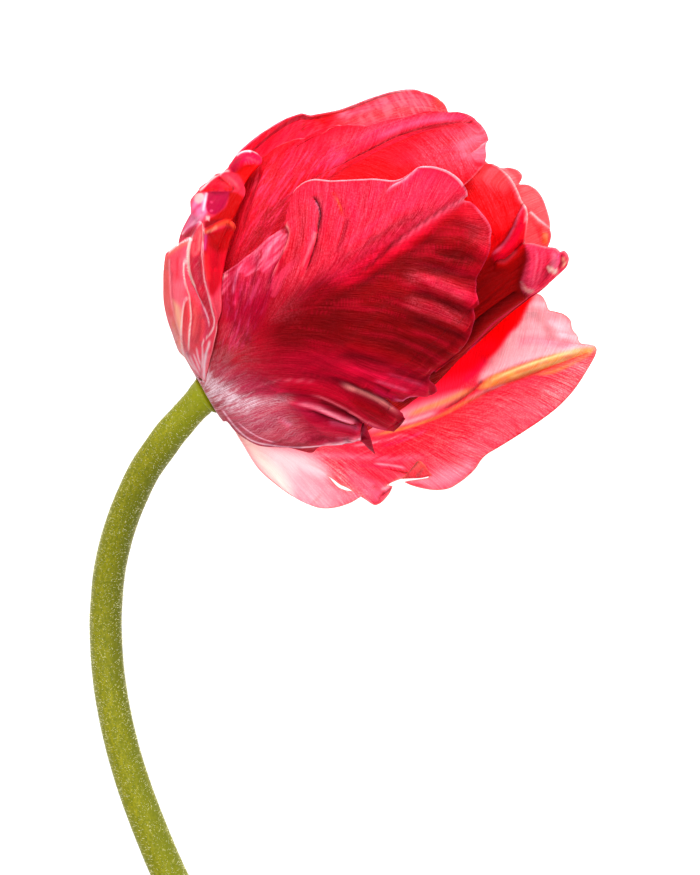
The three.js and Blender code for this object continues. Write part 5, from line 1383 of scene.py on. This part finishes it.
def left_paint(s):
    u, v, x, y, e = s.u, s.v, s.x, s.y, s.edge
    n1, n2 = patches_noise(x, y, 18, 121), patches_noise(x, y, 6, 123)
    cream = rgb(255, 246, 234)
    s.start(rgb(242, 92, 108))
    # outermost band
    s.area([(160, 258), (169, 256), (171, 275), (173, 300), (180, 330), (188, 352), (196, 378), (180, 360), (165, 330), (160, 295)], 2.5, rgb(236, 128, 110), 0.95)
    s.area([(172, 318), (178, 330), (184, 350), (194, 372), (186, 364), (176, 346)], 2.5, rgb(232, 164, 112), 0.85)
    s.stroke([(170, 257), (170.6, 275), (172, 300), (176, 318), (181.5, 336)], 0.9, rgb(255, 200, 200), 0.85, (0.05, 0.05))
    # pink band
    s.area([(171, 253), (182, 246), (187, 244), (185.5, 262), (185, 285), (184, 300), (181, 320), (176, 316), (172, 290)], 2.5, rgb(250, 112, 124), 0.95)
    s.area([(172, 282), (184, 282), (185, 298), (181, 322), (176, 316)], 4, rgb(255, 152, 160), 0.8)
    s.stroke([(178, 256), (178.5, 268), (177.5, 280)], 1.6, rgb(236, 50, 76), 0.6)
    s.area([(173.6, 300), (180, 306), (182, 318), (182, 334), (177, 322)], 3, rgb(255, 222, 178), 0.9)
    s.stroke([(168.5, 255), (176, 249.6), (184, 244.6), (191, 239.6)], 1.8, rgb(255, 150, 110), 0.7, (0.02, 0.05))
    # rimmed strips near the stem
    s.area([(190, 299), (184.6, 305), (183, 320), (182.5, 338), (186, 352), (189.4, 340), (191, 320)], 1.4, rgb(238, 92, 90), 0.95)
    s.area([(192, 292), (201, 306), (208, 322), (203, 340), (197, 352), (190, 356), (191, 320)], 2.2, rgb(236, 88, 92), 0.95)
    s.stroke([(195, 304), (196, 320), (193, 340)], 1.8, rgb(255, 132, 118), 0.75)
    s.stroke([(201, 312), (201, 326), (198, 342)], 1.4, rgb(206, 40, 66), 0.7)
    s.area([(201, 306), (209, 303), (215, 320), (211, 334), (205, 342), (201, 346), (206, 326)], 2.2, rgb(214, 66, 100), 0.9)
    # the tall strip
    s.area([(192, 238), (202, 223), (204.5, 233), (203, 250), (204, 268), (207, 290), (211, 303), (214.5, 322), (210, 330), (206, 312), (199, 296), (192, 282), (190.4, 264), (190.6, 248)], 1.8, rgb(214, 14, 66), 0.97)
    s.area([(194, 238), (202, 225), (204, 234), (202.4, 248), (196, 258), (191.6, 252)], 2.4, rgb(250, 118, 116), 0.9)
    s.stroke([(198.6, 231), (196.6, 242), (195.6, 254)], 0.9, rgb(226, 40, 70), 0.6)
    s.stroke([(201.6, 230), (200, 242), (199.4, 254)], 0.9, rgb(255, 176, 160), 0.6)
    s.area([(192, 258), (199, 256), (201, 270), (203, 284), (198, 288), (193.6, 276)], 2.2, rgb(192, 0, 70), 0.95)
    s.stroke([(203, 290), (208, 304), (211.6, 318)], 2.0, rgb(196, 10, 66), 0.8)
    s.stroke([(206, 282), (209, 296), (212, 308)], 1.0, rgb(250, 120, 140), 0.7)
    # the light edges
    s.area([(193, 236), (191.6, 244), (190.4, 255), (190.6, 266), (192.4, 276), (196.6, 287), (195.2, 288), (190.6, 279.4), (187.4, 269), (186.6, 257), (187.4, 247), (190, 239.4)], 0.8, cream, 1.0)
    s.stroke([(202, 222.4), (196.6, 228), (193.6, 234), (191.6, 240)], 1.1, cream, 1.0, (0.02, 0.02))
    s.stroke([(195, 285), (198, 294), (202, 303), (206, 311), (209, 320), (210, 330)], 0.8, rgb(255, 224, 232), 0.95, (0.02, 0.2))
    s.stroke([(185.6, 256), (184, 268), (185, 279), (187, 287), (190, 296), (190.6, 304), (191.4, 318), (190, 330), (189.5, 345), (189.4, 354)], 0.8, cream, 0.95, (0.08, 0.1))
    s.stroke([(189, 297), (185, 302), (183, 312), (182, 325), (181.6, 335), (183, 348), (186, 358), (191, 368), (198, 378), (203, 387)], 0.8, cream, 1.0, (0.02, 0.02))
    s.stroke([(203.4, 225), (204.6, 235), (203, 245), (202.8, 255), (204, 267), (205, 279), (208, 291), (211, 303), (213, 312), (215, 320), (214, 328), (210, 335), (205, 340), (203, 345), (204, 352)], 0.75, rgb(255, 228, 224), 0.95, (0.02, 0.05))
    s.stroke([(210.5, 339), (209, 346), (207, 352), (205.4, 360), (204.4, 370), (204.4, 380)], 1.2, rgb(255, 240, 240), 0.95, (0.1, 0.02))
    # the lobe with the orange rim
    s.area([(205, 234), (238, 226), (240, 250), (226, 275), (212, 296), (206, 275), (203.8, 255)], 2.5, rgb(218, 4, 46), 0.95)
    s.area([(211, 234), (236, 228), (237, 246), (222, 252), (210, 246)], 4, rgb(186, 0, 12), 0.9)
    s.stroke([(206, 250), (207, 266), (210, 284)], 2.6, rgb(250, 72, 66), 0.8)
    s.stroke([(206.6, 234), (206, 242), (204.6, 252)], 1.5, rgb(236, 110, 170), 0.8, (0.05, 0.2))
    # the upper lobes
    s.area([(160, 250), (168, 251), (180, 243), (192, 237), (201, 222), (196, 222), (185, 229), (176, 238)], 2.2, rgb(206, 50, 92), 0.95)
    s.area([(184, 236), (191, 231), (197, 225), (194, 234), (188, 239)], 1.8, rgb(176, 10, 56), 0.9)
    s.stroke([(169, 252.6), (175, 247.6), (183, 242.4), (192, 237.4)], 0.8, cream, 1.0, (0.02, 0.02))
    s.stroke([(182.6, 235), (187, 229), (193, 224.4), (201, 221.6)], 0.9, rgb(255, 234, 230), 0.95, (0.02, 0.02))
    s.area([(190, 218), (196, 198), (206, 193), (209, 200), (207, 214), (201, 221.6), (190, 228), (184, 232)], 2.6, rgb(232, 158, 188), 0.95)
    s.stroke([(203, 203), (197, 208), (192.6, 215)], 2.0, rgb(206, 70, 116), 0.85)
    s.stroke([(204, 213), (198, 219), (190, 227)], 1.4, rgb(250, 206, 222), 0.8)
    s.area([(209, 191.6), (220, 191), (233, 193), (228, 201), (225, 208), (216, 215), (209.6, 214), (205.6, 206.4), (206.4, 199)], 1.6, rgb(190, 0, 82), 1.0)
    s.stroke([(207.2, 193), (205.2, 203), (203.6, 212)], 1.3, rgb(255, 232, 240), 0.95, (0.02, 0.1))
    s.area([(196, 195), (203, 193), (205, 199), (200, 204), (195, 201)], 1.4, rgb(248, 216, 204), 0.85)
    s.stroke([(211.4, 202.4), (212.6, 202.8)], 0.9, rgb(236, 110, 140), 0.9, (0, 0))
    s.stroke([(211.4, 211), (212.6, 211.4)], 0.9, rgb(240, 130, 160), 0.9, (0, 0))
    s.area([(230, 192), (244, 194), (241, 206), (236, 222), (214, 226), (207, 222), (217, 214.6), (225.6, 208), (228.6, 201)], 1.8, rgb(202, 0, 6), 1.0)
    s.area([(205, 222), (214, 220), (224, 219.6), (216, 226), (206, 230)], 1.5, rgb(170, 0, 36), 0.95)
    s.area([(206.6, 216), (210.4, 217), (210, 221), (206.6, 220.4)], 1.0, rgb(255, 214, 206), 0.9)
    s.stroke([(204.6, 232.6), (212.5, 228.8), (220, 224.6), (227.5, 222.4), (233, 224.6), (235.6, 228.6)], 1.8, rgb(255, 112, 66), 1.0, (0.01, 0.01))
    s.stroke([(206, 232.6), (213, 229.6), (219, 226.4)], 1.0, rgb(255, 186, 150), 0.9)
    # folded frills
    s.area([(198, 192.5), (210, 180), (220, 175), (236, 189), (222, 189.4), (208, 190.6)], 1.6, rgb(226, 14, 62), 1.0)
    s.area([(220, 184), (229, 184), (236, 189.4), (224, 189.6)], 1.8, rgb(246, 66, 72), 0.9)
    s.stroke([(203, 190), (214, 186), (224, 186)], 1.0, rgb(196, 0, 44), 0.6)
    s.stroke([(199, 192.6), (210, 190.2), (220, 189.4), (234, 190)], 1.1, rgb(255, 52, 34), 0.95, (0.02, 0.05))
    s.area([(220, 174), (230, 170), (238, 174.6), (243, 184), (245.4, 196), (241, 195), (235, 189), (227, 181)], 1.5, rgb(250, 76, 92), 1.0)
    s.stroke([(226, 176), (234, 182), (241, 191)], 1.4, rgb(255, 118, 112), 0.7)
    s.stroke([(221, 175.4), (227, 180.8), (235, 188.6)], 0.8, rgb(255, 120, 96), 0.8)
    s.stroke([(200, 191), (206, 186), (211, 180.4), (218.8, 174.8), (226, 171.4), (232, 171.6)], 1.0, rgb(255, 234, 228), 0.9, (0.02, 0.1))
    s.area([(235, 172.5), (241, 167), (247, 164), (262, 164), (257, 174), (251, 183), (246.4, 192), (244, 184), (239.4, 176)], 1.6, rgb(226, 0, 8), 1.0)
    s.area([(230, 167), (236, 159), (240, 153), (252, 151), (262, 158), (261, 164.6), (254, 163.4), (246, 161.4), (240, 169), (233, 173)], 1.5, rgb(228, 34, 88), 1.0)
    s.area([(230, 168), (236, 160), (243, 158), (240, 166), (234, 172.6)], 1.6, rgb(176, 0, 66), 0.95)
    s.stroke([(236, 172), (240.6, 166.4), (245, 161.6)], 1.0, rgb(190, 0, 26), 0.9)
    s.stroke([(246, 157.6), (253, 160), (259.6, 163.4)], 1.2, rgb(255, 92, 100), 0.9, (0.1, 0.02))
    s.stroke([(237, 156), (240.6, 153), (247, 151.2), (252.6, 152)], 1.0, rgb(255, 240, 242), 0.95, (0.02, 0.1))
    # pale towards the stem
    low = np.exp(-((u / 0.17) ** 2))
    s.put(low * (0.4 + 0.6 * n2), rgb(246, 196, 206), 0.75)
    for k, p in enumerate([[(197, 346), (198.6, 356), (202, 366)], [(190, 354), (195, 365), (200.6, 376)], [(203, 346), (203.4, 358), (202.4, 370)], [(186, 352), (191, 362), (197.6, 372)], [(193.6, 352), (197.6, 362), (201.6, 372)]]):
        s.stroke(p, 0.9, rgb(255, 240, 240), 0.75, (0.2, 0.2))
    # Painted highlight along the free edge, kept off the quiet part.
    rim = np.exp(-((e / 0.2) ** 2)) * smooth(0.3, 0.5, u)
    quiet = s.shape_mask([(203, 236), (226, 228), (232, 215), (228, 170), (256, 164), (258, 154), (275, 150), (262, 190), (246, 260), (226, 310), (214, 326), (204, 300)], 2.5)
    s.put(rim * (1 - quiet), rgb(255, 226, 216), 0.6)
    bl = 0.55 * np.exp(-((u / 0.14) ** 2)) + 0.4 * s.line_mask([(207, 352), (205, 366), (204, 380)], 5, (0.1, 0))
    frill = s.shape_mask([(188, 190), (228, 148), (268, 150), (262, 168), (248, 198), (238, 230), (236, 256), (214, 300), (205, 262), (204, 232), (206, 212), (200, 196)], 3)
    # Pink streaks that are partly painted sheen: weak, and nearly nil on the frills.
    s.mask = np.stack([np.clip(bl, 0, 1), 0.65 - 0.4 * frill, 0.16 - 0.14 * frill], -1)
    s.glow = np.clip(s.c * 1.0, 0, 0.97)


def petal_left():
    make_petal(dict(
        name="petal_left", node="outer_petal_left", slot="petal_pink", mat=petal_material("petal_left_silk", 0.5, 0.45, 0.6, 420, pink_and_sheen=rgb(255, 190, 196)), n=(150, 372), flip=True,
        base=arc(-36, -184, 0), front_only=True, even=0.03, settle=0.1, power=1.3, crease=0.8,
        left=[U(205, 381.5, 0.2), U(206.4, 376, 0.5), U(208, 369, 0.8), U(209.6, 361, 1.1), U(213.4, 346, 1.4), U(217, 323, 1.6), U(209.5, 294, 1.7), U(204, 258, 1.6)],
        rim=[U(202.6, 223, 1.4), U(204, 231.5, 1), U(212, 228.6, 0.9), U(220, 223.6, 0.9), U(228, 220.8, 0.9), U(234.5, 223.6, 0.9), C(236, 228.5, 0.7), U(230, 222, 0.2), U(224, 214, 0),
             U(229, 204, 0.2), C(232, 195.5, 0.4), U(236, 190, 0.6), U(241, 192, 0.9), C(244.8, 195.5, 1.1), U(245, 189, 1), U(242, 182, 0.9), U(237, 175, 0.7), C(233, 171.5, 0.4), U(240, 169, 0.6),
             U(247, 164, 0.8), U(255, 163.4, 0.9), C(261, 164.2, 1), U(262, 159, 0.9), U(259, 154.6, 0.7),
             U(253, 151.4, 0.5), U(246, 150.8, 0.3), U(239.5, 153, 0.2), U(234, 159, 0), C(229.5, 168, 0), U(221, 173.5, 0), U(210, 180.5, -0.1), U(203, 186, -0.2),
             C(197.2, 192.4, -0.3),
             B(112, -96, -0.2), B(124, -108, 0), B(116, -118, 0), B(136, -129, 0.2), B(126, -141, 0), B(112, -152, 0.2),
             B(86, -161, 0), B(72, -170, 0)],
        right=[B(20, -180), B(45, -175)],
        gate=(-0.6, -0.45), follow=True, columns=((0.25, 0.2, 1.2),),
        relief=left_relief, paint=left_paint))


def petals():
    petal_front()
    petal_left()
    petal_open()
    petal_top()
    petal_back()
    petal_right()



# ---- stem ------------------------------------------------------------------------------
STEM = [(305, 1104, 4.35, 4.3), (289, 1080, 4.35, 4.3), (267, 1048, 4.35, 4.3), (235, 997, 4.35, 4.3),
        (207, 948, 4.35, 4.3), (182, 899, 4.3, 4.25), (169.5, 875, 4.3, 4.25), (148.5, 825, 4.25, 4.2),
        (130.5, 775, 4.2, 4.12), (117, 725, 4.12, 4.05), (108.5, 675, 4.08, 4.0), (105.5, 625, 4.3, 3.95),
        (106.5, 600, 5.0, 3.92), (108.7, 575, 6.4, 3.9), (113.5, 550, 8.5, 3.88), (120.5, 525, 11.2, 3.85),
        (130, 500, 14.0, 3.85), (144.5, 470, 17.6, 3.85), (162.6, 443.8, 20.6, 3.9), (170.8, 432.6, 21.9, 3.86),
        (179.7, 422.7, 22.9, 3.76), (191, 410, 24.1, 3.66), (198.4, 402.4, 24.5, 3.8), (203.2, 397.1, 24.85, 4.1)]


def along(mm):
    t = mm / UNIT
    return np.array([BASE[0] + t * AX[0], BASE[1] + t * AX[1], axis_z(t)])


def tube_mesh(path, radius, sides, up=(0, 0, 1), ry=None, wob=None):
    """Vertices and faces of a closed tube; path in metres, radius in metres."""
    n = len(path)
    d = np.gradient(path, axis=0)
    d /= np.linalg.norm(d, axis=1, keepdims=True)
    w = np.cross(np.array(up, float), d)
    w /= np.linalg.norm(w, axis=1, keepdims=True)
    e = np.cross(d, w)
    g = np.linspace(0, 2 * np.pi, sides, endpoint=False)
    r1 = np.asarray(radius)[:, None]
    r2 = r1 if ry is None else np.asarray(ry)[:, None]
    k = 1.0 if wob is None else wob
    ring = path[:, None, :] + w[:, None, :] * (np.cos(g) * r1 * k)[..., None] + e[:, None, :] * (np.sin(g) * r2 * k)[..., None]
    verts = np.concatenate([ring.reshape(-1, 3), path[:1], path[-1:]])
    i, j = np.meshgrid(np.arange(n - 1), np.arange(sides), indexing="ij")
    a, b = (i * sides + j).ravel(), (i * sides + (j + 1) % sides).ravel()
    quads = np.stack([a, b, b + sides, a + sides], 1)
    k0 = n * sides
    jj = np.arange(sides)
    t0 = np.stack([np.full(sides, k0), (jj + 1) % sides, jj], 1)
    t1 = np.stack([np.full(sides, k0 + 1), (n - 1) * sides + jj, (n - 1) * sides + (jj + 1) % sides], 1)
    return verts, quads, np.concatenate([t0, t1]), ring, g


def stem_material():
    m = Nodes("stem_green")
    co = m.n("ShaderNodeTexCoord").outputs["Object"]
    st = m.attr("stem", "Vector")
    big = m.noise(m.scaled(co, (1, 1, 1)), 60.0, 3.0)
    fib = m.noise(m.scaled(st, (60.0, 26.0, 0.0)), 1.0, 3.0, 0.6)
    speck = m.noise(m.scaled(co, (1, 1, 1)), 1500.0, 2.0, 0.6)
    mottle = m.noise(m.scaled(co, (1, 1, 1)), 1900.0, 3.0, 0.7)
    sep = m.n("ShaderNodeSeparateXYZ")
    m.link(st, sep.inputs[0])
    col = m.mix(m.ramp(fib, [(0.3, 0.0), (0.7, 1.0)]), rgb(96, 96, 4), rgb(142, 132, 14))
    col = m.mix(m.ramp(big, [(0.35, 0.0), (0.65, 1.0)]), col, m.mix(0.5, col, rgb(104, 100, 16)))
    col = m.mix(m.ramp(mottle, [(0.4, 0.7), (0.56, 0.0)]), col, rgb(60, 66, 2))
    # Painted shade: darker lengthwise bands round one side of the stem, the side turned from the light.
    side_shade = m.ramp(m.math("ADD", sep.outputs[1], m.math("MULTIPLY", m.math("SUBTRACT", big, 0.5), 0.12)), [(0.0, 0.25), (0.05, 0.0), (0.22, 0.0), (0.34, 0.6), (0.41, 0.75), (0.46, 0.15), (0.5, 0.4), (0.95, 0.3)])
    col = m.mix(side_shade, col, rgb(58, 64, 4))
    top = m.ramp(sep.outputs[0], [(0.0, 0.6), (0.35, 0.2), (0.9, 0.1), (0.975, 0.4), (1.0, 0.6)])
    col = m.mix(top, col, rgb(142, 148, 8))
    sp = m.ramp(speck, [(0.62, 0.0), (0.74, 1.0)])
    col = m.mix(m.math("MULTIPLY", sp, 0.45), col, rgb(196, 190, 130))
    p = m.n("ShaderNodeBsdfPrincipled")
    p.inputs["Roughness"].default_value = 0.5
    p.inputs["Specular IOR Level"].default_value = 0.12
    p.inputs["Sheen Weight"].default_value = 0.12
    p.inputs["Sheen Roughness"].default_value = 0.35
    m.link(col, p.inputs["Base Color"])
    bump = m.n("ShaderNodeBump")
    bump.inputs["Strength"].default_value = 0.5
    bump.inputs["Distance"].default_value = 0.0003
    m.link(m.math("ADD", m.math("MULTIPLY", speck, 0.7), m.math("MULTIPLY", fib, 0.6)), bump.inputs["Height"])
    m.link(bump.outputs[0], p.inputs["Normal"])
    tr = m.n("ShaderNodeBsdfTranslucent")
    tr.inputs["Color"].default_value = tuple(rgb(190, 205, 20)) + (1,)
    mx = m.n("ShaderNodeMixShader")
    mx.inputs[0].default_value = 0.12
    m.link(p.outputs[0], mx.inputs[1])
    m.link(tr.outputs[0], mx.inputs[2])
    out = m.n("ShaderNodeOutputMaterial")
    m.link(mx.outputs[0], out.inputs["Surface"])
    return m.mat


def stem():
    pts = np.array([s[:3] for s in STEM] + [tuple(along(-0.25))], float)
    rad = np.array([s[3] for s in STEM] + [4.85], float)
    P = place(pts)
    ch = chord(P)
    n = 520
    s = np.linspace(0, 1, n)
    path, r = hermite(ch, P)(s), hermite(ch, rad)(s) * 0.001
    # the receptacle inside the petals
    extra = [(-0.2, 4.6), (-0.1, 4.35), (0.6, 4.2), (2.4, 3.4), (3.9, 2.8), (4.8, 2.2), (5.0, 1.5)]
    path = np.concatenate([path, place(np.array([along(x) for x, _ in extra]))])
    r = np.concatenate([r, np.array([b for _, b in extra]) * 0.001])
    # rounded lip at the cut end
    r[0], r[1] = r[0] * 0.93, r[1] * 0.985
    sides = 48
    g = np.linspace(0, 2 * np.pi, sides, endpoint=False)
    ss = np.concatenate([s, np.ones(len(extra))])
    wob = 1 + 0.012 * np.sin(3 * g[None] + 6 * ss[:, None]) + 0.008 * np.sin(7 * g[None] + 11 * ss[:, None] + 1)
    fade = 1 - smooth(0.985, 1.0, ss)[:, None]
    wob = 1 + (wob - 1) * fade
    verts, quads, tris, ring, g = tube_mesh(path, r, sides, wob=wob)
    ob = new_object("stem_body", verts, [quads, tris], stem_material())
    sv = np.stack([np.repeat(ss, sides), np.tile(g / (2 * np.pi), len(ss)), np.zeros(len(ss) * sides)], 1)
    sv = np.concatenate([sv, [[0, 0, 0], [1, 0, 0]]])
    add_attr(ob.data, "stem", "FLOAT_VECTOR", sv)
    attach(ob, "root")
    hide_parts("stem")
    # the fine white down: small spikes that lean a little towards the bloom
    rng = np.random.default_rng(5)
    count = 9000
    i0 = rng.uniform(1.5, n - 8, count)
    a0 = rng.uniform(0, 2 * np.pi, count)
    i = i0.astype(int)
    f = (i0 - i)[:, None]
    c0 = path[i] * (1 - f) + path[i + 1] * f
    d = path[i + 1] - path[i]
    d /= np.linalg.norm(d, axis=1, keepdims=True)
    w = np.cross(np.array((0.0, 0.0, 1.0)), d)
    w /= np.linalg.norm(w, axis=1, keepdims=True)
    e = np.cross(d, w)
    out = w * np.cos(a0)[:, None] + e * np.sin(a0)[:, None]
    side = -w * np.sin(a0)[:, None] + e * np.cos(a0)[:, None]
    root = c0 + out * (r[i][:, None] - 0.00005)
    lean = d * rng.uniform(0.1, 0.9, (count, 1)) + side * rng.uniform(-0.5, 0.5, (count, 1)) + out
    lean /= np.linalg.norm(lean, axis=1, keepdims=True)
    tip = root + lean * rng.uniform(0.00035, 0.0008, (count, 1))
    ok = (out[:, 2] > -0.35) & (tip[:, 2] > 0.0006)
    root, tip, side, d = root[ok], tip[ok], side[ok], d[ok]
    k = 0.00005
    v3 = [root + side * k, root - side * k * 0.5 + d * k * 0.87, root - side * k * 0.5 - d * k * 0.87, tip]
    verts = np.stack(v3, 1).reshape(-1, 3)
    b = np.arange(len(root))[:, None] * 4
    tri = np.concatenate([b + np.array(t) for t in ((0, 1, 3), (1, 2, 3), (2, 0, 3), (0, 2, 1))])
    m = Nodes("stem_down_white")
    p = m.n("ShaderNodeBsdfPrincipled")
    co = m.n("ShaderNodeTexCoord").outputs["Object"]
    m.link(m.mix(m.ramp(m.noise(co, 260.0, 3.0), [(0.3, 0.0), (0.7, 1.0)]), rgb(214, 212, 140), rgb(238, 232, 192)), p.inputs["Base Color"])
    p.inputs["Roughness"].default_value = 0.6
    outn = m.n("ShaderNodeOutputMaterial")
    m.link(p.outputs[0], outn.inputs["Surface"])
    down = new_object("stem_down", verts, [tri], m.mat, False)
    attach(down, "root")
    return path, r, ss


# ---- stamens and pistil --------------------------------------------------------------
def simple_material(name, colour, rough, scale=900.0, spread=0.3, bump_d=0.0002):
    m = Nodes(name)
    co = m.n("ShaderNodeTexCoord").outputs["Object"]
    n1 = m.noise(co, scale, 3.0)
    col = m.mix(m.ramp(n1, [(0.3, 0.0), (0.7, 1.0)]), np.array(colour) * (1 - spread), np.minimum(np.array(colour) * (1 + spread), 1))
    p = m.n("ShaderNodeBsdfPrincipled")
    p.inputs["Roughness"].default_value = rough
    m.link(col, p.inputs["Base Color"])
    b = m.n("ShaderNodeBump")
    b.inputs["Strength"].default_value = 0.6
    b.inputs["Distance"].default_value = bump_d
    m.link(n1, b.inputs["Height"])
    m.link(b.outputs[0], p.inputs["Normal"])
    out = m.n("ShaderNodeOutputMaterial")
    m.link(p.outputs[0], out.inputs["Surface"])
    return m.mat


def heart():
    av = np.array([AX[0], -AX[1], AXIS_RISE])
    av /= np.linalg.norm(av)
    sv = np.array([NX[0], -NX[1], 0])
    sv /= np.linalg.norm(sv)
    tv = np.cross(sv, av)
    tv /= np.linalg.norm(tv)
    pale = simple_material("ovary_green", rgb(206, 212, 140), 0.45, 500)
    straw = simple_material("stigma_cream", rgb(236, 224, 160), 0.8, 1600, 0.2, 0.0005)
    fil = simple_material("filament_dark", rgb(60, 30, 46), 0.45, 700)
    ant = simple_material("anther_dark", rgb(40, 28, 40), 0.85, 2600, 0.45, 0.0004)

    def lathe(name, prof, node, mat, lobes=3, amp=0.08, n=60, sides=48):
        prof = np.array(prof, float)
        ch = np.linspace(0, 1, len(prof))
        f = hermite(ch, prof)(np.linspace(0, 1, n))
        path = place(np.array([along(x) for x in f[:, 0]]))
        g = np.linspace(0, 2 * np.pi, sides, endpoint=False)
        wob = 1 + amp * np.cos(lobes * g)[None] * np.ones((n, 1))
        verts, quads, tris, ring, g = tube_mesh(path, f[:, 1] * 0.001, sides, wob=wob)
        ob = new_object(name, verts, [quads, tris], mat)
        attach(ob, "root")
        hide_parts(node)

    lathe("ovary_body", [(5.5, 1.6), (8, 2.7), (12, 3.3), (18, 3.5), (24, 3.1), (29, 2.5), (31, 2.3)], "ovary", pale, 3, 0.06)
    lathe("stigma_lobes", [(31.35, 2.0), (32.2, 3.0), (33.2, 3.9), (34.2, 4.0), (35.0, 3.2), (35.6, 2.0), (35.5, 0.7)], "stigma", straw, 3, 0.16)
    for i in range(6):
        a = math.radians(i * 60 + 18)
        out = sv * math.sin(a) + tv * math.cos(a)

        def at(mm, r):
            return place(along(mm)) + out * r * 0.001

        for kind, prof, mat, slot in (
                ("filament", [(5.8, 2.7, 0.6, 0.6), (10, 4.3, 0.72, 0.72), (16, 5.8, 0.66, 0.66), (20, 6.5, 0.5, 0.5), (22, 6.9, 0.35, 0.35)], fil, "stamen_dark"),
                ("anther", [(22.4, 7.05, 0.5, 0.4), (23.4, 7.2, 1.2, 0.85), (26, 7.5, 1.45, 1.0), (30, 7.9, 1.48, 1.05), (34, 8.3, 1.25, 0.9), (36, 8.45, 0.8, 0.6), (36.6, 8.5, 0.3, 0.25)], ant, "anther_dark")):
            q = np.array(prof)
            k = np.linspace(0, 1, len(q))
            f = hermite(k, q)(np.linspace(0, 1, 40))
            path = np.array([at(m_, r_) for m_, r_ in f[:, :2]])
            sides = 20
            g = np.linspace(0, 2 * np.pi, sides, endpoint=False)
            groove = 1 - (0.16 * bell(np.abs(np.sin((g - np.pi / 2) / 2)), 0, 0.25) if kind == "anther" else 0)
            verts, quads, tris, ring, _ = tube_mesh(path, f[:, 2] * 0.001, sides, up=tuple(out), ry=f[:, 3] * 0.001,
                                                    wob=np.ones((40, 1)) * groove)
            ob = new_object(f"{kind}_{i + 1}_body", verts, [quads, tris], mat)
            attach(ob, "root")
            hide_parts(f"{kind}_{i + 1}")


# ---- studio ------------------------------------------------------------------------------
def studio():
    m = Nodes("floor_white")
    e = m.n("ShaderNodeEmission")
    e.inputs["Color"].default_value = (1, 1, 1, 1)
    e.inputs["Strength"].default_value = 0.88
    d = m.n("ShaderNodeBsdfDiffuse")
    d.inputs["Color"].default_value = (0.36, 0.36, 0.36, 1)
    both = m.n("ShaderNodeAddShader")
    m.link(e.outputs[0], both.inputs[0])
    m.link(d.outputs[0], both.inputs[1])
    out = m.n("ShaderNodeOutputMaterial")
    m.link(both.outputs[0], out.inputs["Surface"])
    s = 6.0
    fl = new_object("floor", [(-s, -s, 0), (s, -s, 0), (s, s, 0), (-s, s, 0)], [np.array([[0, 1, 2, 3]])], m.mat, False)
    fl.location.z = -0.0004
    w = bpy.data.worlds.new("studio")
    bpy.context.scene.world = w
    w.use_nodes = True
    bg = w.node_tree.nodes["Background"]
    bg.inputs["Color"].default_value = (1, 1, 1, 1)
    bg.inputs["Strength"].default_value = 0.8

    def area(name, loc, size, power, target=(0.0, 0.03, 0.03), colour=(1, 1, 1)):
        li = bpy.data.lights.new(name, "AREA")
        li.shape = "RECTANGLE"
        li.size, li.size_y = size
        li.energy = power
        li.color = colour
        ob = bpy.data.objects.new(name, li)
        ob.location = loc
        d = Vector(target) - Vector(loc)
        ob.rotation_euler = d.to_track_quat("-Z", "Y").to_euler()
        bpy.context.scene.collection.objects.link(ob)

    area("key", (-0.35, 0.15, 0.75), (0.6, 0.6), 6.0)
    area("fill", (0.5, -0.15, 0.75), (0.9, 0.9), 5.0)
    area("top", (0.2, 0.75, 0.3), (0.8, 0.4), 15.0, (0.02, 0.05, 0.035))
    cam = bpy.data.cameras.new("camera")
    cam.sensor_fit = "VERTICAL"
    cam.sensor_height = 36.0
    # The frame is 875 units high at LEVEL, seen from TAPER above it.
    cam.lens = 36.0 * TAPER / (875 * UNIT)
    cam.clip_start, cam.clip_end = 0.05, 50
    co = bpy.data.objects.new("camera", cam)
    co.location = (-ORIGIN[0] * 0.001, -ORIGIN[1] * 0.001, (LEVEL + TAPER - ORIGIN[2]) * 0.001)
    co.rotation_euler = (0, 0, 0)
    bpy.context.scene.collection.objects.link(co)
    bpy.context.scene.camera = co
    vs = bpy.context.scene.view_settings
    vs.view_transform = "Standard"
    vs.look = "None"
    vs.exposure = 0.0


petals()
stem()
heart()
studio()
